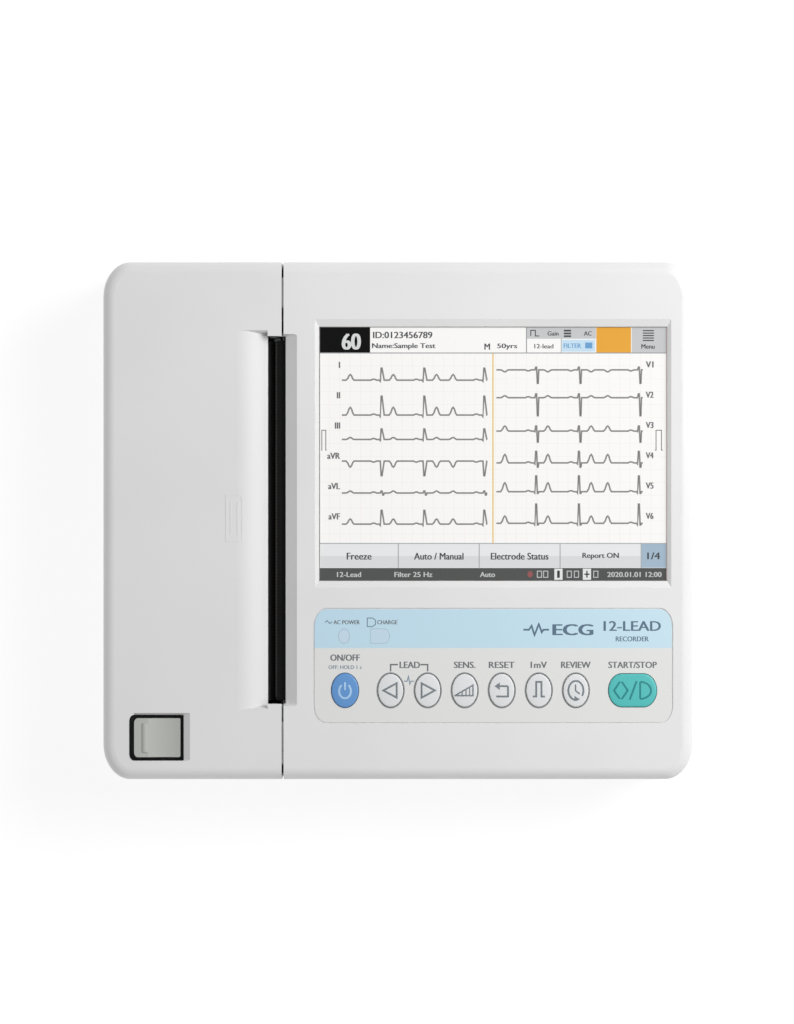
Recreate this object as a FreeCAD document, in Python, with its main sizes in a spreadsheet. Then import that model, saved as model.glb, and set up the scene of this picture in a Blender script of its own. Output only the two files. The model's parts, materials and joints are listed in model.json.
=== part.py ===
"""Twelve-lead ECG recorder: a desk-top case with a touch display, a key panel and a hinged
cover over the paper tray and the thermal printer.

Millimetres. Origin on the table under the middle of the case, +X to the right of a user who
faces the display, +Y to the back, +Z up. Every sub-part is one object of the document, its
Label is the name of its file, and its sizes come from the cells of the sheet Dims.
"""
import FreeCAD
import Part
import Sketcher
import math
import os
import re

Vector = FreeCAD.Vector
doc = FreeCAD.newDocument("ecg_recorder")
sheet = doc.addObject("Spreadsheet::Sheet", "Dims")

DIMS = {
    # case: outer size, levels, corners and walls
    "body_w": 360, "body_d": 316, "floor_z": 4, "split_z": 46, "top_z": 90,
    "corner_x": 16.5, "corner_y": 21.5, "wall": 2.5, "skin": 3,
    "top_round": 7, "floor_round": 5, "seam": 0.4, "lip_out": 1.3, "lip_up": 2, "play": 0.2,
    # the join between the paper cover and the rest of the top
    "join_x": -70.3, "join_gap": 1.2, "join_front": -122.5, "join_back": 130, "join_sill": 84,
    # paper slot, the rounded scoop on its left and the slope on its right
    "slot_left": -79.4, "slot_right": -68.5, "slot_front": -111.8, "slot_back": 112.7,
    "scoop_x": -98, "scoop_r": 28.2, "scoop_draft": 3.4,
    "slope_x": -61.5, "slope_down": 5.4, "slope_draft": 1.2, "slope_in": 4, "slope_round": 1.8,
    "sill_x": -58, "sill_z": 81.6,
    # display window, display stack
    "win_x0": -48, "win_x1": 164.4, "win_y0": -36.8, "win_y1": 118.4,
    "rim_left": 2.6, "rim_right": 2.4, "rim_front": 4, "rim_back": 4.6,
    "rim_z": 88.4, "glass_in": 5, "gasket_t": 0.5, "glass_t": 1.8,
    "lcd_in": 8, "lcd_t": 10, "bracket_t": 2, "bracket_in": 10, "bracket_tab": 16, "bracket_rib": 18,
    # key panel: overlay sheet, keys, lenses, mat and board
    "pan_x0": -50.8, "pan_x1": 167, "pan_y0": -123, "pan_y1": -54.1,
    "pan_cx": 7.4, "pan_cy": 10.4, "pan_gap": 0.9, "pan_deep": 0.8, "pan_t": 0.6,
    "key_y": -103.5, "key_rx": 7.7, "key_ry": 10.1, "key_gap": 0.35, "key_top": 91,
    "key_foot": 84, "key_rim": 1.2, "key_rim_z": 85.2, "key_rim_t": 1.2,
    "key_edge": 0.45, "key_lead_x": -4.4, "key_pitch": 22.6,
    "power_x": -32.2, "power_rx": 8.3, "power_ry": 10.5,
    "start_x": 143.2, "start_w": 29.4, "start_cx": 8.2, "start_ry": 10.1,
    "lens_ac_x": -32.8, "lens_ac_rx": 3.3, "lens_ry": 4.4, "lens_y": -70.4,
    "lens_bat_x": -10.8, "lens_bat_w": 11.4, "lens_bat_c": 3.6, "lens_z": 82, "lens_top": 89.85,
    "mat_z": 80, "mat_t": 1, "mat_dome_r": 4.5, "mat_in": 4,
    # paper cover hinge
    "hinge_x": -178.4, "hinge_front": -131, "hinge_len": 36, "knuckle_r": 2.4, "pin_r": 1,
    "pin_gap": 0.05, "notch_r": 2.8, "notch_x": -175.4, "notch_z": 43.2, "swing_up": 2.1,
    "swing_x": -176,
    # latch
    "lat_x0": -164, "lat_x1": -130.7, "lat_y0": -146.5, "lat_y1": -118.5,
    "lat_slope_x": 3.9, "lat_slope_y": 1.2, "lat_slope_z": 2.5, "lat_slope_round": 1, "square_r": 0.8,
    "btn_x0": -160.9, "btn_x1": -132.8, "btn_y0": -144.3, "btn_y1": -120.6,
    "btn_z0": 83.5, "btn_z1": 89, "btn_dish_r": 34, "btn_dish_down": 1.4, "btn_dish_x": -142.6,
    "rdg_x": -154.4, "rdg_w": 2.6, "rdg_up": 1.0, "rdg_in": 3.2,
    "pocket_wall": 2.4, "pocket_z": 78, "pocket_floor": 1.5,
    "stem_x0": -150, "stem_x1": -143, "stem_w": 4,
    "bar_x0": -152, "bar_x1": -74.6, "bar_y0": -138, "bar_y1": -127, "bar_z": 72, "bar_t": 2,
    "bar_play": 0.6, "guide_z": 70, "guide_t": 4, "guide_x0": -118, "guide_x1": -100,
    "stop_x": -165, "stop_t": 3, "lat_coil_r": 2.6, "lat_wire": 0.4,
    # platen and its bearings
    "plat_x": -83, "plat_z": 68.5, "plat_r": 8, "plat_half": 110, "shaft_r": 3,
    "shaft_front": -123.5, "shaft_back": 129.5, "ear_in": 117, "ear_t": 4, "ear_x0": -93,
    "ear_x1": -76, "bush_r": 5, "bush_flange": 6.2, "bush_flange_t": 1,
    "run_gap": 0.05,
    # gear train
    "tooth_mod": 0.8, "plat_teeth": 24, "idler_teeth": 30, "pinion_teeth": 12,
    "train_deg": -60, "gear_y0": 123, "gear_y1": 128, "gear_slack": 0.12,
    "idler_pin": 2, "motor_side": 32, "motor_len": 28.5, "motor_shaft": 2, "motor_chamfer": 4,
    # printer chassis, thermal head and tear bar
    "side_y": 112.5, "side_t": 2, "side_x0": -79, "side_x1": -50, "side_z": 8,
    "side_top": 80.2, "foot_y": 126, "back_x": -62, "back_t": 1.5, "back_z": 54,
    "head_x": -74.8, "head_t": 2, "head_z0": 60, "head_z1": 78, "head_half": 108,
    "sink_t": 5, "head_pin_x": -70.3, "head_pin_z": 56, "head_pin_r": 2, "head_pin_y": 116,
    "sink_hub": 4, "head_coil_y": 60, "head_coil_z": 72, "head_coil_r": 3, "head_wire": 0.5,
    "tear_x0": -74.5, "tear_x1": -60.5, "tear_t": 1.2, "tear_half": 110, "tear_pitch": 2,
    "tear_deep": 0.9,
    # paper tray and the cover's inner panel
    "well_x0": -171, "well_x1": -88, "well_y": 111.5, "well_z": 12, "deck_z": 56, "deck_t": 2,
    "deck_x0": -175.5, "deck_y": 153.5, "deck_cx": 13, "deck_cy": 18, "tray_wall": 1.8,
    "tray_low": 3, "liner_x0": -168, "liner_x1": -100, "liner_y": 105, "liner_z": 80,
    "liner_t": 1.6, "rib_t": 1.6, "rib_down": 7, "rib_count": 5,
    # floor furniture
    "foot_x": 150, "foot_yy": 128, "foot_r": 9, "foot_sink": 1,
    "foot_edge": 1,
    "boss_r": 4.5, "boss_hole": 1.7, "boss_top": 44, "boss_x_out": 165, "boss_x_mid": 60,
    "boss_x_in": -50, "boss_y_out": 140, "boss_y_in": 146, "screw_head_r": 3,
    "screw_head_t": 2.4, "screw_well_r": 3.4, "screw_well_z": 12, "screw_r": 1.5,
    "screw_end": 56, "top_boss_r": 4, "top_boss_z": 44.4,
    "post_r": 4, "post_x0": -163, "post_x1": -100, "post_y": 146,
    "cart_pitch": 100, "cart_boss_r": 5, "cart_boss_z": 14, "cart_hole_r": 2, "cart_deep": 8,
    "vent_x": 36, "vent_pitch": 9, "vent_count": 10, "vent_w": 3, "vent_y0": 88, "vent_y1": 122,
    # battery bay
    "bay_x0": 40, "bay_x1": 136, "bay_y0": -138, "bay_y1": -62, "bay_ledge": 4,
    "bay_step": 1.6, "bay_wall": 2, "bay_z": 28, "door_gap": 0.25,
    "cell_in": 6, "cell_z0": 7.4, "cell_z1": 27.5, "door_screw_x": 30,
    "door_boss_r": 3.2, "door_boss_z": 13, "door_hole_r": 1.25, "door_head_r": 1.7,
    # loudspeaker
    "spk_x": -18, "spk_y": -122, "spk_r": 20, "spk_t": 9, "spk_magnet": 10, "spk_magnet_t": 6,
    "grille_r": 1.3, "grille_step": 5,
    # rear connector panel
    "rp_x0": -123.7, "rp_x1": 97.8, "rp_z0": 12, "rp_z1": 40, "rp_proud": 0.8,
    "rp_flange": 3, "rp_flange_y": 153.2,
    "ac_x": 80, "ac_w": 27, "ac_z": 26,
    "ac_deep": 20, "ac_cav_w": 24, "ac_back": 3, "ac_blade_w": 2,
    "ac_blade_tip": 6.8, "ac_blade_x": 7, "ac_blade_z": 2, "ac_earth_z": 3,
    "lan_x": 12, "lan_w": 16, "lan_deep": 20, "lan_cav_w": 11.8,
    "lan_cav_deep": 12,
    "pot_x": 42, "pot_cup_r": 10, "pot_cup_in": 8.8, "pot_cup_y": 145, "pot_r": 3,
    "pot_base_r": 7, "pot_base_t": 2,
    # right-hand ports
    "side_proud": 0.7, "ecg_y": 34, "port_z": 24, "ecg_w": 25,
    "ecg_deep": 14, "ecg_plate_w": 39.2, "ecg_plate_t": 0.8,
    "post_pitch": 33.3, "jack_r": 2.4, "jack_bore": 1.3,
    "usb_y": -59, "usb_pitch": 17, "usb_w": 14, "usb_deep": 14, "usb_cav_w": 12.5,
    "usb_cav_deep": 10, "usb_tongue_w": 11, "usb_tongue_t": 1.8,
    "port_play": 0.4,
    # boards
    "board_t": 1.6, "main_x0": -44, "main_x1": 168, "main_y0": -134, "main_y1": 62,
    "main_z": 30, "psu_x0": 24, "psu_x1": 166, "psu_y0": 72,
    "psu_y1": 134, "psu_z": 16, "coil_side": 30, "coil_t": 24,
    "switch_x": -66, "switch_w": 9, "switch_z": 62, "switch_h": 8, "switch_y": -114.6,
    "switch_t": 6, "ffc_w": 40, "ffc_t": 0.4, "ffc_x0": -59.8, "ffc_x1": -38, "ffc_z1": 64,
    "ffc_z": 50, "ffc_plug": 4,
    # posts, stops and small clearances
    "lip_x": -170, "board_post_r": 3, "ecg_t": 10, "usb_t": 7.2, "usb_cav_t": 5.1, "rim_t": 2.3,
    "sill_in": 5, "strap_t": 1.4, "strap_up": 3, "lcd_low": 74.7, "bracket_post_r": 3.5, "top_boss_end": 70,
    "scoop_side": 3.5, "scoop_low": 76, "scoop_down": 7, "latch_rim_z": 85.5,
    "lat_cx": 3, "lat_cy": 4, "door_screw_y": -63.9, "door_lift": 0.1,
    "grip_pitch": 30, "grip_y": 8, "grip_step": 5, "grip_w": 12, "grip_t": 1.6,
    "grip_deep": 0.8, "lens_foot_r": 1.6, "latch_travel": 3, "stem_y": -132.5, "btn_c": 2.2,
    "spring_drop": 7, "guide_side": 3, "head_gap": 0.6, "side_mid": 60, "side_high_x": -74,
    "side_high_x1": -59.5,
    "motor_boss_r": 5.5, "lan_t": 13.8, "lan_cav_t": 8.6, "ac_t": 20, "ac_cav_t": 16,
    "ac_blade_t": 4, "ecg_plate_h": 12.6, "contact_step": 2.76, "contact_r": 0.55,
    "keeper_x0": -74, "keeper_x1": -60, "keeper_z": 76,
}

# keys from left to right: label, centre x
KEY_PLACES = [
    ("key_lead_back", "key_lead_x"),
    ("key_lead_next", "key_lead_x+key_pitch"),
    ("key_sensitivity", "key_lead_x+2*key_pitch"),
    ("key_reset", "key_lead_x+3*key_pitch"),
    ("key_calibration", "key_lead_x+4*key_pitch"),
    ("key_review", "key_lead_x+5*key_pitch"),
]
CASE_BOSSES = [
    ("boss_x_out", "boss_y_out"), ("boss_x_out", "-boss_y_out"),
    ("boss_x_mid", "boss_y_in"), ("boss_x_mid", "-boss_y_in"),
    ("boss_x_in", "boss_y_in"), ("boss_x_in", "-boss_y_in"),
]
# posts under the boards, the display bracket and the key board: x, y
MAIN_POSTS = [("-36", "-90"), ("-36", "54"), ("160", "54"), ("160", "-40"), ("30", "-128"), ("52", "0")]
PSU_POSTS = [("psu_x0+4", "psu_y0+4"), ("psu_x1-4", "psu_y0+4"), ("psu_x0+4", "psu_y1-4"),
             ("psu_x1-4", "psu_y1-4")]
BRACKET_POSTS = [("win_x0+8", "win_y0-12.7"), ("win_x1-8", "win_y0-12.7"), ("win_x0+8", "win_y1+12.7"),
                 ("win_x1-8", "win_y1+12.7")]
PAD_POSTS = [("pan_x0+8", "pan_y0+8"), ("pan_x1-8", "pan_y0+8"), ("pan_x0+8", "pan_y1-8"),
             ("pan_x1-8", "pan_y1-8"),
             ("29.5", "pan_y1-8"), ("97", "pan_y1-8")]
# components on the boards: x, y, width, depth, height
MAIN_CHIPS = [("20", "10", "28", "28", "2"), ("70", "20", "18", "18", "1.5"),
              ("-20", "-40", "14", "20", "3"),
              ("120", "30", "40", "24", "6"), ("-10", "-80", "24", "12", "2.5"),
              ("30", "-70", "16", "16", "1.2"),
              ("90", "-20", "10", "22", "5"), ("140", "-20", "22", "10", "4"),
              ("ffc_x1", "0", "5", "42", "ffc_plug")]
PSU_CHIPS = [("60", "103", "coil_side", "coil_side", "coil_t"), ("100", "90", "14", "14", "20"),
             ("100", "116", "14", "14", "20"), ("130", "104", "18", "26", "12"),
             ("34", "104", "8", "30", "10")]
TOL = 1e-4


# ---------------------------------------------------------------- sheet and expressions

def fill_sheet():
    for row, (alias, number) in enumerate(DIMS.items(), start=1):
        sheet.set(f"A{row}", alias)
        sheet.set(f"B{row}", str(number))
        sheet.setAlias(f"B{row}", alias)
    doc.recompute()


def expr(text):
    """text with every word that is an alias turned into a reference to its cell."""
    return re.sub(r"[A-Za-z_]\w*", lambda m: "Dims." + m[0] if m[0] in DIMS else m[0], str(text))


def value(text):
    """The number that an expression of aliases stands for, for what can't be bound."""
    plain = re.sub(r"[A-Za-z_]\w*", lambda m: repr(float(DIMS[m[0]])), str(text))
    return float(FreeCAD.Units.Quantity(plain).Value)


def bind(thing, **texts):
    """Binds properties to expressions; a double underscore in a name is a dot."""
    for prop, text in texts.items():
        thing.setExpression(prop.replace("__", "."), expr(text))


def put(thing, x, y, z):
    bind(thing, Placement__Base__x=x, Placement__Base__y=y, Placement__Base__z=z)


# ---------------------------------------------------------------- primitives and booleans

TURN = {
    "X": FreeCAD.Rotation(Vector(0, 1, 0), 90),
    "Y": FreeCAD.Rotation(Vector(1, 0, 0), -90),
    "Z": FreeCAD.Rotation(),
}


def add(kind, name):
    return doc.addObject(kind, name)


def box(name, x, y, z):
    """A box between two expressions along each axis."""
    made = add("Part::Box", name)
    bind(made, Length=f"({x[1]})-({x[0]})", Width=f"({y[1]})-({y[0]})", Height=f"({z[1]})-({z[0]})")
    put(made, x[0], y[0], z[0])
    return made


def rod(name, axis, radius, span, first, second):
    """A cylinder along an axis; first and second are its centre on the two other axes."""
    made = add("Part::Cylinder", name)
    bind(made, Radius=radius, Height=f"({span[1]})-({span[0]})")
    made.Placement = FreeCAD.Placement(Vector(), TURN[axis])
    at = {"X": (span[0], first, second), "Y": (first, span[0], second), "Z": (first, second, span[0])}
    put(made, *at[axis])
    return made


def oval(name, rx, ry, z, x, y):
    """An upright elliptical cylinder with half-widths rx and ry, ry the larger."""
    ring = add("Part::Ellipse", name + "_ring")
    bind(ring, MajorRadius=ry, MinorRadius=rx)
    ring.Placement = FreeCAD.Placement(Vector(), FreeCAD.Rotation(Vector(0, 0, 1), 90))
    put(ring, x, y, z[0])
    made = add("Part::Extrusion", name)
    made.Base = ring
    made.DirMode = "Custom"
    made.Dir = Vector(0, 0, 1)
    made.Solid = True
    bind(made, LengthFwd=f"({z[1]})-({z[0]})")
    return made


def fuse(name, things):
    made = add("Part::MultiFuse", name)
    made.Shapes = things
    made.Refine = True
    return made


def cut(name, base, tools):
    made = add("Part::Cut", name)
    made.Base = base
    made.Tool = tools[0] if len(tools) == 1 else fuse(name + "_tools", tools)
    made.Refine = True
    return made


def common(name, base, tool):
    made = add("Part::Common", name)
    made.Base = base
    made.Tool = tool
    made.Refine = True
    return made


def group(name, things):
    """Separate solids that share one node."""
    made = add("Part::Compound", name)
    made.Links = things
    return made


def rounded_block(name, x, y, z, rx, ry):
    """A block whose four upright edges are rounded with quarter ellipses."""
    pieces = [
        box(name + "_long", (f"({x[0]})+({rx})", f"({x[1]})-({rx})"), y, z),
        box(name + "_wide", x, (f"({y[0]})+({ry})", f"({y[1]})-({ry})"), z),
    ]
    corners = [(0, 0), (0, 1), (1, 0), (1, 1)]
    for i, j in corners:
        cx = f"({x[i]}){'-+'[i == 0]}({rx})"
        cy = f"({y[j]}){'-+'[j == 0]}({ry})"
        pieces.append(oval(f"{name}_corner_{i}{j}", rx, ry, z, cx, cy))
    return fuse(name, pieces)


def half_square(name, x, y, z, rx, ry):
    """A block rounded as rounded_block on its left, with small round corners on its right."""
    left = rounded_block(name + "_left", x, y, z, rx, ry)
    right = rounded_block(name + "_right", (f"(({x[0]})+({x[1]}))/2", x[1]), y, z, "square_r", "square_r")
    return fuse(name, [left, right])


def inset_block(name, inset, z):
    """The outline of the case moved in by inset, between two levels."""
    x = (f"-body_w/2+({inset})", f"body_w/2-({inset})")
    y = (f"-body_d/2+({inset})", f"body_d/2-({inset})")
    return rounded_block(name, x, y, z, f"corner_x-({inset})", f"corner_y-({inset})")


def frustum(name, low, high, z):
    """A block that widens or narrows evenly from rectangle low at z[0] to rectangle high at z[1]."""
    made = add("Part::Wedge", name)
    bind(made, Xmin=low[0], Xmax=low[1], Zmin=f"-({low[3]})", Zmax=f"-({low[2]})",
         X2min=high[0], X2max=high[1], Z2min=f"-({high[3]})", Z2max=f"-({high[2]})",
         Ymin=z[0], Ymax=z[1])
    made.Placement = FreeCAD.Placement(Vector(), FreeCAD.Rotation(Vector(1, 0, 0), 90))
    return made


def fillet(name, base, radius, pick):
    """Rounds the edges of base that pick accepts."""
    doc.recompute()
    r = value(radius)
    made = add("Part::Fillet", name)
    made.Base = base
    made.Edges = [(n, r, r) for n, e in enumerate(base.Shape.Edges, start=1) if pick(e)]
    return made


def flat_at(z):
    """Accepts the edges that lie wholly at height z."""
    level = value(z)
    return lambda e: abs(e.BoundBox.ZMin - level) < TOL and abs(e.BoundBox.ZMax - level) < TOL


def leaning_right(x):
    """Accepts the edges right of x that run up from one level to another."""
    limit = value(x)
    return lambda e: e.BoundBox.XMin > limit and e.BoundBox.ZLength > TOL and e.BoundBox.XLength > TOL


def feature(name, shape, placement=None):
    """A shape made with Part's own functions, kept as an object of the document."""
    made = add("Part::Feature", name)
    made.Shape = shape
    if placement:
        made.Placement = placement
    return made


# ---------------------------------------------------------------- PartDesign plates

def plane_of(body, role):
    return next(f for f in body.Origin.OriginFeatures if f.Role == role)


def rectangle(sketch, x, y):
    """A rectangle whose four sides are tied to expressions."""
    x0, x1, y0, y1 = value(x[0]), value(x[1]), value(y[0]), value(y[1])
    corners = [Vector(x0, y0), Vector(x1, y0), Vector(x1, y1), Vector(x0, y1)]
    first = sketch.GeometryCount
    for n in range(4):
        sketch.addGeometry(Part.LineSegment(corners[n], corners[(n + 1) % 4]), False)
    for n in range(4):
        sketch.addConstraint(Sketcher.Constraint("Coincident", first + n, 2, first + (n + 1) % 4, 1))
        sketch.addConstraint(Sketcher.Constraint(("Horizontal", "Vertical")[n % 2], first + n))
    for kind, line, at, text in (
        ("DistanceX", 0, 1, x[0]), ("DistanceX", 0, 2, x[1]),
        ("DistanceY", 0, 1, y[0]), ("DistanceY", 2, 1, y[1]),
    ):
        number = value(text)
        rule = sketch.addConstraint(Sketcher.Constraint(kind, -1, 1, first + line, at, number))
        sketch.setExpression(f"Constraints[{rule}]", expr(text))


def sketch_on(body, name, level):
    made = body.newObject("Sketcher::SketchObject", name)
    made.AttachmentSupport = [(plane_of(body, "XY_Plane"), "")]
    made.MapMode = "FlatFace"
    bind(made, AttachmentOffset__Base__z=level)
    return made


def pad(body, name, x, y, z):
    sketch = sketch_on(body, name + "_outline", z[0])
    rectangle(sketch, x, y)
    made = body.newObject("PartDesign::Pad", name)
    made.Profile = sketch
    bind(made, Length=f"({z[1]})-({z[0]})")
    sketch.Visibility = False
    return made


def pocket(body, name, x, y, top, depth):
    """Cuts a rectangle down from the level top."""
    sketch = sketch_on(body, name + "_outline", top)
    rectangle(sketch, x, y)
    made = body.newObject("PartDesign::Pocket", name)
    made.Profile = sketch
    bind(made, Length=depth)
    return made


def upright(e):
    box_ = e.BoundBox
    return box_.XLength < TOL and box_.YLength < TOL


def plate(label, x, y, z):
    """A PartDesign body with one padded rectangle."""
    body = add("PartDesign::Body", label)
    pad(body, label + "_plate", x, y, z)
    return body


# ---------------------------------------------------------------- casing

WALL_X = ("body_w/2-wall-1", "body_w/2+1")


def ring(name, outer, inner):
    """What is left of the block outer when the block inner is taken out of it."""
    return cut(name, outer, [inner])


def boss_rods(name, radius, z):
    return [rod(f"{name}_{n}", "Z", radius, z, x, y) for n, (x, y) in enumerate(CASE_BOSSES)]


def knuckles(name, numbers, radius):
    """Barrels on the hinge line, over the numbered fifths of its length."""
    made = []
    for n in numbers:
        span = (f"hinge_front+{n}*hinge_len+play", f"hinge_front+{n + 1}*hinge_len-play")
        made.append(rod(f"{name}_{n}", "Y", radius, span, "hinge_x", "split_z"))
    return made


def hinge_rod(name, radius, over):
    span = (f"hinge_front-({over})", f"hinge_front+5*hinge_len+({over})")
    return rod(name, "Y", radius, span, "hinge_x", "split_z")


def grille_holes():
    """Rings of round holes under the loudspeaker."""
    z = ("floor_z-1", "floor_z+wall+1")
    holes = [rod("grille_0", "Z", "grille_r", z, "spk_x", "spk_y")]
    for circle in (1, 2, 3):
        for n in range(6 * circle):
            turn = math.radians(60 * n / circle)
            x = f"spk_x+{circle}*grille_step*{math.cos(turn):.5f}"
            y = f"spk_y+{circle}*grille_step*{math.sin(turn):.5f}"
            holes.append(rod(f"grille_{circle}_{n}", "Z", "grille_r", z, x, y))
    return holes


def tray_posts(name, radius, z):
    return [rod(f"{name}_{x}_{n}", "Z", radius, z, x, f"{n}*post_y")
            for x in ("post_x0", "post_x1") for n in (-1, 1)]


def floor_posts():
    """Posts on the floor: under the paper tray, the boards and the printer's feet."""
    low = "floor_z+wall/2"
    made = tray_posts("tray_post", "post_r", (low, "deck_z-deck_t"))
    for n, (x, y) in enumerate(MAIN_POSTS):
        made.append(rod(f"main_post_{n}", "Z", "board_post_r", (low, "main_z"), x, y))
    for n, (x, y) in enumerate(PSU_POSTS):
        made.append(rod(f"psu_post_{n}", "Z", "board_post_r", (low, "psu_z"), x, y))
    for n in (-1, 1):
        y = sorted((f"{n}*side_y", f"{n}*foot_y"), key=value)
        made.append(box(f"printer_pad_{n}", ("side_x0", "side_x1"), y, (low, "side_z")))
        for m in (-1, 1):
            made.append(rod(f"cart_boss_{n}_{m}", "Z", "cart_boss_r", (low, "cart_boss_z"),
                            f"{n}*cart_pitch/2", f"{m}*cart_pitch/2"))
    return made


def battery_bay():
    tub = ring("bay", box("bay_out", ("bay_x0-bay_wall", "bay_x1+bay_wall"),
                          ("bay_y0-bay_wall", "bay_y1+bay_wall"), ("floor_z+wall/2", "bay_z")),
               box("bay_in", ("bay_x0", "bay_x1"), ("bay_y0", "bay_y1"), ("floor_z", "bay_z+1")))
    return [tub] + door_rods("door_boss", "door_boss_r", ("floor_z+bay_step", "door_boss_z"))


def door_rods(name, radius, z):
    """Upright rods at the two screws of the battery door."""
    return [rod(f"{name}_{n}", "Z", radius, z, f"(bay_x0+bay_x1)/2+{n}*door_screw_x", "door_screw_y")
            for n in (-1, 1)]


def closing_lip():
    """The lip that locates the top case; it stops short of the cover's hinge."""
    full = ring("lip_full", inset_block("lip_outside", "lip_out", ("split_z-1", "split_z+lip_up")),
                inset_block("lip_inside", "wall", ("split_z-2", "split_z+lip_up+1")))
    return cut("lip", full, [box("lip_stop", ("-body_w/2", "lip_x"), ("-body_d/2", "body_d/2"),
                                 ("split_z", "split_z+lip_up+1"))])


def port_holes():
    """Holes in the right-hand wall for the patient lead, its two posts and the USB ports."""
    made = [box("ecg_hole", WALL_X, ("ecg_y-ecg_w/2-port_play", "ecg_y+ecg_w/2+port_play"),
                ("port_z-ecg_t/2-port_play", "port_z+ecg_t/2+port_play"))]
    for n in (-1, 1):
        made.append(rod(f"jack_hole_{n}", "X", "jack_r+play", WALL_X,
                        f"ecg_y+{n}*post_pitch/2", "port_z"))
    for n in (0, 1):
        y = f"usb_y-{n}*usb_pitch"
        made.append(box(f"usb_hole_{n}", WALL_X,
                        (f"{y}-usb_w/2-port_play", f"{y}+usb_w/2+port_play"),
                        ("port_z-usb_t/2-port_play", "port_z+usb_t/2+port_play")))
    return made


def floor_holes():
    low = ("floor_z-1", "floor_z+wall+1")
    made = boss_rods("boss_hole", "boss_hole", ("floor_z-1", "boss_top+1"))
    made += boss_rods("boss_well", "screw_well_r", ("floor_z-1", "screw_well_z"))
    made += door_rods("door_hole", "door_hole_r", ("floor_z-1", "door_boss_z+1")) + grille_holes()
    made += [
        box("bay_hole", ("bay_x0+bay_ledge", "bay_x1-bay_ledge"),
            ("bay_y0+bay_ledge", "bay_y1-bay_ledge"), low),
        box("bay_rebate", ("bay_x0", "bay_x1"), ("bay_y0", "bay_y1"), ("floor_z-1", "floor_z+bay_step")),
    ]
    for n in (-1, 1):
        for m in (-1, 1):
            made.append(rod(f"foot_well_{n}_{m}", "Z", "foot_r+play", ("floor_z-1", "floor_z+foot_sink"),
                            f"{n}*foot_x", f"{m}*foot_yy"))
            made.append(rod(f"cart_hole_{n}_{m}", "Z", "cart_hole_r", ("floor_z-1", "floor_z+cart_deep"),
                            f"{n}*cart_pitch/2", f"{m}*cart_pitch/2"))
    for n in range(int(DIMS["vent_count"])):
        x = f"vent_x+{n}*vent_pitch"
        made.append(box(f"vent_{n}", (x, f"{x}+vent_w"), ("vent_y0", "vent_y1"), low))
    return made


def bottom_case():
    outer = inset_block("bottom_outer", "0", ("floor_z", "split_z"))
    outer = fillet("bottom_outer_round", outer, "floor_round", flat_at("floor_z"))
    shell = cut("bottom_shell", outer,
                [inset_block("bottom_hollow", "wall", ("floor_z+wall", "split_z+1"))])
    bosses = boss_rods("boss", "boss_r", ("floor_z+wall/2", "boss_top"))
    barrels = knuckles("case_knuckle", (0, 2, 4), "knuckle_r")
    solid = fuse("bottom_solid", [shell, closing_lip()] + bosses + floor_posts() + battery_bay() + barrels)
    holes = port_holes() + floor_holes() + [hinge_rod("case_bore", "pin_r+pin_gap", "1")]
    holes.append(box("panel_hole", ("rp_x0", "rp_x1"), ("body_d/2-wall-1", "body_d/2+1"),
                     ("rp_z0", "rp_z1")))
    for n in (1, 3):
        y = (f"hinge_front+{n}*hinge_len-play", f"hinge_front+{n + 1}*hinge_len+play")
        holes.append(box(f"hinge_notch_{n}", ("-body_w/2-1", "notch_x"), y, ("notch_z", "split_z+3")))
    return cut("bottom_case", solid, holes)


def top_shell(name, x):
    """The rounded upper shell between two planes across X, open underneath."""
    block = inset_block(name + "_outer", "0", ("split_z+seam", "top_z"))
    block = fillet(name + "_round", block, "top_round", flat_at("top_z"))
    part = common(name + "_side", block, box(name + "_part", x, ("-body_d/2-1", "body_d/2+1"),
                                             ("split_z", "top_z+1")))
    hollow = inset_block(name + "_hollow", "wall", ("split_z-1", "top_z-skin"))
    hollow = fillet(name + "_hollow_round", hollow, "top_round-wall", flat_at("top_z-skin"))
    rebate = inset_block(name + "_rebate", "lip_out-play", ("split_z-1", "split_z+lip_up+play"))
    return part, [hollow, rebate]


def key_holes(name, more, z):
    """Upright holes around all the keys and the lenses, wider than they are by more."""
    made = [oval(name + "_power", f"power_rx+({more})", f"power_ry+({more})", z, "power_x", "key_y")]
    for label, x in KEY_PLACES:
        made.append(oval(f"{name}_{label}", f"key_rx+({more})", f"key_ry+({more})", z, x, "key_y"))
    made.append(pill(name + "_start", more, z))
    made.append(oval(name + "_ac", "lens_ac_rx+play/2", "lens_ry+play/2", z, "lens_ac_x", "lens_y"))
    made.append(battery_lens(name + "_bat", "play/2", z))
    return made


def pill(name, more, z):
    """The outline of the start key: straight sides and half-oval ends."""
    half = "(start_w/2-start_cx)"
    rx, ry = f"start_cx+({more})", f"start_ry+({more})"
    pieces = [box(name + "_mid", (f"start_x-{half}", f"start_x+{half}"),
                  (f"key_y-({ry})", f"key_y+({ry})"), z)]
    for n in (-1, 1):
        pieces.append(oval(f"{name}_end_{n}", rx, ry, z, f"start_x+{n}*{half}", "key_y"))
    return fuse(name, pieces)


def battery_lens(name, more, z):
    """A D-shaped outline: flat on the left, half an oval on the right."""
    middle = "(lens_bat_x+lens_bat_w/2-lens_bat_c)"
    flat = box(name + "_flat", (f"lens_bat_x-lens_bat_w/2-({more})", middle),
               (f"lens_y-lens_ry-({more})", f"lens_y+lens_ry+({more})"), z)
    return fuse(name, [flat, oval(name + "_end", f"lens_bat_c+({more})", f"lens_ry+({more})",
                                  z, middle, "lens_y")])


def window_block(name, more, z):
    return box(name, (f"win_x0-({more})", f"win_x1+({more})"), (f"win_y0-({more})", f"win_y1+({more})"), z)


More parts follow.
